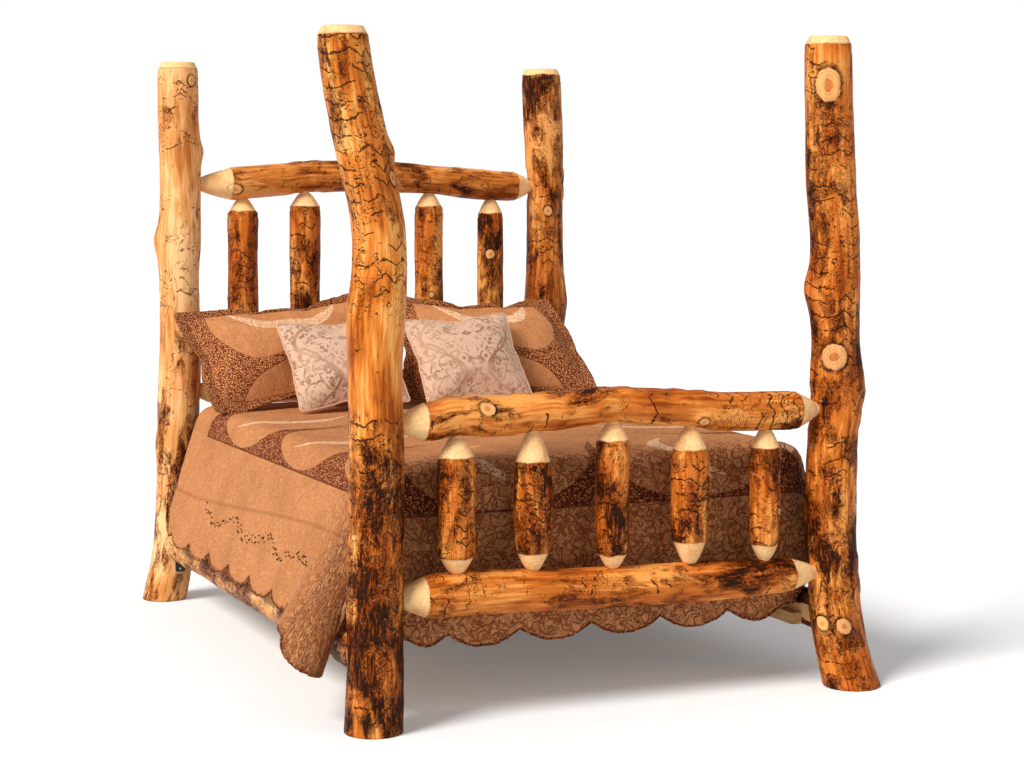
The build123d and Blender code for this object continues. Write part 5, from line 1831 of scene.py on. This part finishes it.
@dataclass
class Pillow:
    """Stuffed pillow that leans on the headboard, with a flange or a welt at its seam."""

    node: str
    width: float
    height: float
    depth: float
    flange: float
    lean: float
    body: Body
    seed: int
    face: Material
    trim: Material
    fill: float
    tilt: float
    cell: float = 0.017
    frames: int = 20
    corner_pull: float = 0.03
    outline_share: float = 0.30
    slump: tuple[float, float, float, float, float] = (1.0, 0.0, 0.0, 0.0, 0.0)

    def build(self) -> Object:
        """Blow the pillow up, add its flange and lean it back.

        Returns:
            The finished pillow.
        """
        self.core = (self.width - 2 * self.flange, self.height - 2 * self.flange)
        sewn = self._sewn()
        shaped = self._blown(sewn)
        mesh = bmesh.new()
        mesh.from_mesh(shaped)
        bpy.data.meshes.remove(shaped)
        self._fit_depth(mesh)
        self._crumple(mesh)
        self._add_flange(mesh)
        self._slump(mesh)
        bmesh.ops.transform(mesh, matrix=self._placed(), verts=mesh.verts)
        pillow = make_piece(f"soft_{self.node}", mesh, [self.face, self.trim])
        smooth = pillow.modifiers.new("smooth", "SUBSURF")
        smooth.levels = smooth.render_levels = 1
        settle(pillow, self.body, "sham_cloth" if self.flange > 0.02 else "damask_cloth", self.node)
        return pillow

    def _sewn(self) -> Object:
        """Two flat panels, sewn together round their edge."""
        mesh = bmesh.new()
        layer = mesh.verts.layers.float_vector.new("cloth")
        columns, rows = (max(8, round(size / self.cell)) for size in self.core)
        for level in (0.004, -0.004):
            made = bmesh.ops.create_grid(mesh, x_segments=columns, y_segments=rows, size=1.0)
            for vert in made["verts"]:
                x, y = vert.co.x, vert.co.y
                pull = self.corner_pull * ((1 - x * x) * abs(y) ** 3 + (1 - y * y) * abs(x) ** 3)
                vert.co = (x * self.core[0] / 2, y * self.core[1] / 2, level)
                vert[layer] = Vector((vert.co.x, vert.co.y, self.seed * 0.37))
                vert.co.x *= 1 - pull * 0.5
                vert.co.y *= 1 - pull * 0.5
        border = [edge for edge in mesh.edges if edge.is_boundary]
        bmesh.ops.bridge_loops(mesh, edges=border)
        bmesh.ops.recalc_face_normals(mesh, faces=mesh.faces)
        return make_piece("panels", mesh, [])

    def _blown(self, sewn: Object) -> Mesh:
        """Fill the panels with air pressure, as cloth."""
        cloth = sewn.modifiers.new("air", "CLOTH")
        for name, value in TICKING_CLOTH.items():
            setattr(cloth.settings, name, value)
        cloth.settings.effector_weights.gravity = 0.0
        cloth.point_cache.frame_end = self.frames
        scene = bpy.context.scene
        for number in range(1, self.frames + 1):
            scene.frame_set(number)
        depsgraph = bpy.context.evaluated_depsgraph_get()
        shaped = bpy.data.meshes.new_from_object(sewn.evaluated_get(depsgraph))
        bpy.data.objects.remove(sewn)
        scene.frame_set(1)
        return shaped

    def _slump(self, mesh: BMesh) -> None:
        """Move the upper outer corner out and down, the lower one in, and let the lower edge hang."""
        side, outward, down, tucked, belly = self.slump
        for vert in mesh.verts:
            outer = smooth_share(side * vert.co.x, 0.05 * self.width, 0.50 * self.width)
            upper = smooth_share(vert.co.y, -0.10 * self.height, 0.50 * self.height)
            lower = smooth_share(vert.co.y, 0.10 * self.height, -0.50 * self.height)
            vert.co.x += side * (outward * upper - tucked * lower) * outer
            vert.co.y -= down * outer * upper
            middle = max(0.0, 1 - (2 * vert.co.x / self.width) ** 2)
            vert.co.y -= belly * middle * smooth_share(vert.co.y, 0.0, -0.50 * self.height)

    def _fit_depth(self, mesh: BMesh) -> None:
        """Bring the pillow to its own size and centre, with part of the outline's pull."""
        flat = mesh.verts.layers.float_vector["cloth"]
        for vert in mesh.verts:
            cut = vert[flat]
            vert.co.x = cut.x + (vert.co.x - cut.x) * self.outline_share
            vert.co.y = cut.y + (vert.co.y - cut.y) * self.outline_share
        columns = list(zip(*(vert.co for vert in mesh.verts)))
        spans = [(min(column), max(column)) for column in columns]
        wanted = (self.core[0], self.core[1], self.depth)
        for vert in mesh.verts:
            for axis, (low, high) in enumerate(spans):
                vert.co[axis] = (vert.co[axis] - (low + high) / 2) * wanted[axis] / (high - low)

    def _crumple(self, mesh: BMesh) -> None:
        """Dent the pillow where its filling has settled."""
        mesh.normal_update()
        moves = []
        for vert in mesh.verts:
            place = vert.co + Vector((0.0, 0.0, self.seed * 1.9))
            soft = noise.noise(place * 6.0) * 0.007 + noise.noise(place * 17.0) * 0.0028
            edge = min(self.core[0] / 2 - abs(vert.co.x), self.core[1] / 2 - abs(vert.co.y))
            pucker = sin((vert.co.x + vert.co.y * 0.6) * 190 + noise.noise(place * 8) * 6)
            near = smooth_share(edge, 0.075, 0.008)
            moves.append(vert.normal * (soft * (1 - near) + pucker * 0.0016 * near))
        for vert, move in zip(mesh.verts, moves):
            vert.co += move

    def _seam(self, mesh: BMesh) -> list[Vector]:
        """Middle line of the seam, in order round the pillow."""
        layer = mesh.verts.layers.float_vector["cloth"]
        half = (self.core[0] / 2, self.core[1] / 2)
        found: dict[tuple[int, int], list[Vector]] = {}
        for vert in mesh.verts:
            flat = vert[layer]
            if abs(abs(flat.x) - half[0]) < 1e-4 or abs(abs(flat.y) - half[1]) < 1e-4:
                found.setdefault((round(flat.x * 1e4), round(flat.y * 1e4)), []).append(vert.co.copy())
        ordered = sorted(found, key=lambda key: atan2(key[1] / half[1], key[0] / half[0]))
        return [sum(found[key], Vector()) / len(found[key]) for key in ordered]

    def _add_flange(self, mesh: BMesh) -> None:
        """Sew a flat flange, or a round welt, to the seam."""
        layer = mesh.verts.layers.float_vector["cloth"]
        seam = self._seam(mesh)
        before = len(mesh.faces)
        if self.flange < 0.02:
            sweep_tube(mesh, seam, 0.0042, 8, layer, closed=True)
        else:
            self._sew_border(mesh, seam, layer)
        mesh.faces.ensure_lookup_table()
        for face in mesh.faces[before:]:
            face.material_index = 1
            face.smooth = True

    def _sew_border(self, mesh: BMesh, seam: list[Vector], layer) -> None:
        """Flat border of doubled cloth outside the seam, with gentle waves."""
        corner = (self.core[0] / 2, self.core[1] / 2)
        thick = 0.0035
        rows = []
        for index, point in enumerate(seam):
            x, y = point.x / corner[0], point.y / corner[1]
            sides = (copysign(min(1.0, abs(part) ** 9 * 1.3), part) for part in (x, y))
            outward = Vector((*sides, 0.0))
            row = []
            for share, level in BORDER_SECTION:
                wave = sin(index * 0.55 + self.seed) * 0.006 * max(share, 0.0)
                wave += noise_at(point.x * 7, point.y * 7, self.seed) * 0.016 * max(share, 0.0)
                place = point + outward * self.flange * share + Vector((0.0, 0.0, wave + level * thick))
                vert = mesh.verts.new(place)
                vert[layer] = Vector((place.x, place.y, self.seed * 0.37))
                row.append(vert)
            rows.append(row)
        for first, second in zip(rows, rows[1:] + rows[:1]):
            for step in range(len(first)):
                after = (step + 1) % len(first)
                mesh.faces.new((first[step], second[step], second[after], first[after]))

    def _placed(self) -> Matrix:
        """Lean and roll at the middle of the pillow's own node."""
        low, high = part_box(self.node)
        lean = radians(self.lean)
        up = Vector((0.0, sin(lean), cos(lean)))
        normal = Vector((0.0, -cos(lean), sin(lean)))
        across = up.cross(normal)
        turned = Matrix((across, up, normal)).transposed().to_4x4()
        rolled = Matrix.Rotation(radians(self.tilt), 4, "Z")
        return Matrix.Translation((low + high) / 2) @ turned @ rolled


@dataclass
class PaddedBlock:
    """Upholstered block with rounded edges and a welt round its top and bottom."""

    node: str
    cover: Material
    welt: Material
    body: Body
    top_gap: float = 0.003
    side_gap: float = 0.004
    round_edge: float = 0.045
    welt_radius: float = 0.005
    welt_inset: float = 0.014
    fill: float = 0.9

    def build(self) -> Object:
        """Model the block inside its node.

        Returns:
            The finished block.
        """
        low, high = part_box(self.node)
        low = low + Vector((self.side_gap, self.side_gap, 0.0005))
        high = high - Vector((self.side_gap, self.side_gap, self.top_gap))
        size = high - low
        mesh = bmesh.new()
        shape = Matrix.Translation((low + high) / 2) @ Matrix.Diagonal((*size, 1.0))
        bmesh.ops.create_cube(mesh, size=1.0, matrix=shape)
        upright = [e for e in mesh.edges if abs(e.verts[0].co.z - e.verts[1].co.z) > size.z / 2]
        bmesh.ops.bevel(mesh, geom=upright, offset=self.round_edge * 1.6, segments=6, profile=0.5,
                        affect="EDGES", material=-1)
        flat = [e for e in mesh.edges if abs(e.verts[0].co.z - e.verts[1].co.z) < 1e-6]
        bmesh.ops.bevel(mesh, geom=flat, offset=self.welt_inset, segments=3, profile=0.5,
                        affect="EDGES", material=-1)
        layer = mesh.verts.layers.float_vector.new("cloth")
        before = len(mesh.faces)
        for level in (low.z + self.welt_inset, high.z - self.welt_inset):
            sweep_tube(mesh, self._outline(low, high, level), self.welt_radius, 8, layer, closed=True)
        mesh.faces.ensure_lookup_table()
        for face in mesh.faces[before:]:
            face.material_index = 1
        block = make_piece(f"soft_{self.node}", mesh, [self.cover, self.welt])
        settle(block, self.body, "ticking", self.node)
        return block

    def _outline(self, low: Vector, high: Vector, level: float) -> list[Vector]:
        """Rounded rectangle at a level, in order."""
        radius = self.round_edge * 1.6
        points = []
        middles = ((high.x - radius, high.y - radius, 0), (low.x + radius, high.y - radius, 90),
                   (low.x + radius, low.y + radius, 180), (high.x - radius, low.y + radius, 270))
        for x, y, start in middles:
            for step in range(9):
                angle = radians(start + 90 * step / 8)
                points.append(Vector((x + cos(angle) * radius, y + sin(angle) * radius, level)))
        return points


@dataclass
class Bedding:
    """Mattress, foundation, quilt and pillows."""

    sham: tuple[float, float, float, float] = (0.836, 0.505, 0.176, 0.042)
    throw: tuple[float, float, float, float] = (0.470, 0.412, 0.136, 0.010)
    lean: float = 36.0

    def build(self) -> None:
        """Build the bedding from the bottom up."""
        ticking = PlainCotton(
            "mattress_ticking", srgb(198, 148, 104), srgb(222, 180, 136), quilting=0.004).material()
        cover = PlainCotton("foundation_cloth", srgb(214, 190, 160), srgb(232, 214, 190)).material()
        welt = PrintedCotton("welt_cotton", ground=srgb(196, 168, 138), fleck=srgb(232, 214, 190)).material()
        PaddedBlock("mattress", ticking, welt, Body.MATTRESS).build()
        PaddedBlock("foundation_cover", cover, welt, Body.FOUNDATION, fill=1.0).build()
        DrapedQuilt().build()
        patched = PatchedCotton(
            "sham_face", half_width=0.400, foot_edge=5.0, head_edge=5.0, side_period=0.52, both_ends=True,
            lobe_start=0.085, lobe_phase=0.10, stitch_scale=44.0, stitch_depth=0.0035,
        ).material()
        flange = PrintedCotton("sham_flange").material()
        damask = Damask("throw_damask").material()
        welting = PlainCotton("throw_welt", srgb(208, 162, 132), srgb(222, 182, 154)).material()
        sham = {"face": patched, "trim": flange, "fill": 0.75}
        throw = {"face": damask, "trim": welting, "fill": 0.8, "tilt": 3.0}
        left, right = (-1.0, 0.022, 0.046, 0.040, 0.030), (1.0, -0.105, 0.030, 0.0, 0.018)
        pillows = (
            ("pillow_sham_left", self.sham, Body.SHAM_LEFT, sham | {"tilt": 2.6, "slump": left}),
            ("pillow_sham_right", self.sham, Body.SHAM_RIGHT, sham | {"tilt": -1.0, "slump": right}),
            ("throw_pillow_left", self.throw, Body.THROW_LEFT, throw),
            ("throw_pillow_right", self.throw, Body.THROW_RIGHT, throw),
        )
        for seed, (node, size, body, rest) in enumerate(pillows, 1):
            Pillow(node, *size, self.lean, body, seed, **rest).build()


# ---------- camera, light and floor
@dataclass(frozen=True)
class Studio:
    """Pale floor, soft light from the upper left, and the camera at the foot of the bed."""

    camera_place: tuple[float, float, float] = (-3.0695, -7.2293, 1.6897)
    camera_turn: float = 23.12
    camera_dip: float = 3.59
    lens: float = 75.95
    shift: Pair = (0.03125, -0.0703)
    floor_size: float = 60.0
    floor_colour: Colour = (0.845, 0.86, 0.88, 1.0)
    floor_glow: float = 0.12
    world_light: float = 0.37

    def build(self) -> None:
        """Make the camera, the lamps, the world and the floor."""
        self._camera()
        self._sun("key", (-0.82, -0.34, 0.76), 3.6, 22.0, (1.0, 0.965, 0.92))
        self._sun("fill", (0.45, -0.85, 0.45), 0.28, 60.0, (1.0, 0.98, 0.95))
        self._world()
        self._floor()
        bpy.context.scene.view_settings.view_transform = "Standard"

    def _camera(self) -> None:
        """Camera at the viewing angle, with its small shift."""
        data = bpy.data.cameras.new("camera")
        data.lens = self.lens
        data.shift_x, data.shift_y = self.shift
        camera = bpy.data.objects.new("camera", data)
        camera.location = self.camera_place
        camera.rotation_euler = (radians(90 - self.camera_dip), 0.0, radians(-self.camera_turn))
        bpy.context.scene.collection.objects.link(camera)
        bpy.context.scene.camera = camera

    def _sun(self, name: str, source: tuple, power: float, spread: float, colour: tuple) -> None:
        """Distant soft lamp that shines from a direction; spread is its width in degrees."""
        data = bpy.data.lights.new(name, "SUN")
        data.energy = power
        data.angle = radians(spread)
        data.color = colour
        lamp = bpy.data.objects.new(name, data)
        lamp.location = Vector(source) * 6.0
        lamp.rotation_euler = (-Vector(source)).to_track_quat("-Z", "Y").to_euler()
        bpy.context.scene.collection.objects.link(lamp)

    def _seen(self, graph: Graph) -> Signal:
        """1 where the camera looks, also through glass, else 0."""
        kinds = ("Is Camera Ray", "Is Transmission Ray")
        rays = (graph.step("ShaderNodeLightPath", {}, kind) for kind in kinds)
        return graph.math("MAXIMUM", *rays)

    def _world(self) -> None:
        """White surroundings that light the bed softly."""
        world = bpy.data.worlds.new("studio")
        world.use_nodes = True
        bpy.context.scene.world = world
        graph = Graph(world.node_tree)
        background = next(n for n in world.node_tree.nodes if n.type == "BACKGROUND")
        background.inputs["Color"].default_value = (1.0, 1.0, 1.0, 1.0)
        light = graph.rise(self._seen(graph), 0.0, 1.0, self.world_light, 1.0)
        graph.feed(background.inputs["Strength"], light)

    def _floor(self) -> None:
        """Plain pale floor that turns white away from the shadow."""
        mesh = bmesh.new()
        bmesh.ops.create_grid(mesh, x_segments=1, y_segments=1, size=self.floor_size)
        material = bpy.data.materials.new("studio_floor")
        material.use_nodes = True
        tree = material.node_tree
        tree.nodes.clear()
        graph = Graph(tree)
        seen = graph.rise(self._seen(graph), 0.0, 1.0, 0.0, self.floor_glow)
        matt = graph.step("ShaderNodeBsdfDiffuse", {"Color": self.floor_colour})
        glow = graph.step("ShaderNodeEmission", {"Strength": seen})
        both = graph.step("ShaderNodeAddShader", {0: matt, 1: glow})
        graph.feed(graph.node("ShaderNodeOutputMaterial").inputs[0], both)
        floor = make_piece("studio_floor", mesh, [material], smooth=False)


def main() -> None:
    """Build the bed in order."""
    logging.basicConfig(level=logging.INFO, format="%(name)s: %(message)s")
    Studio().build()
    LogFrame().build()
    Hardware().dress()
    Bedding().build()


if __name__ == "__main__":
    main()
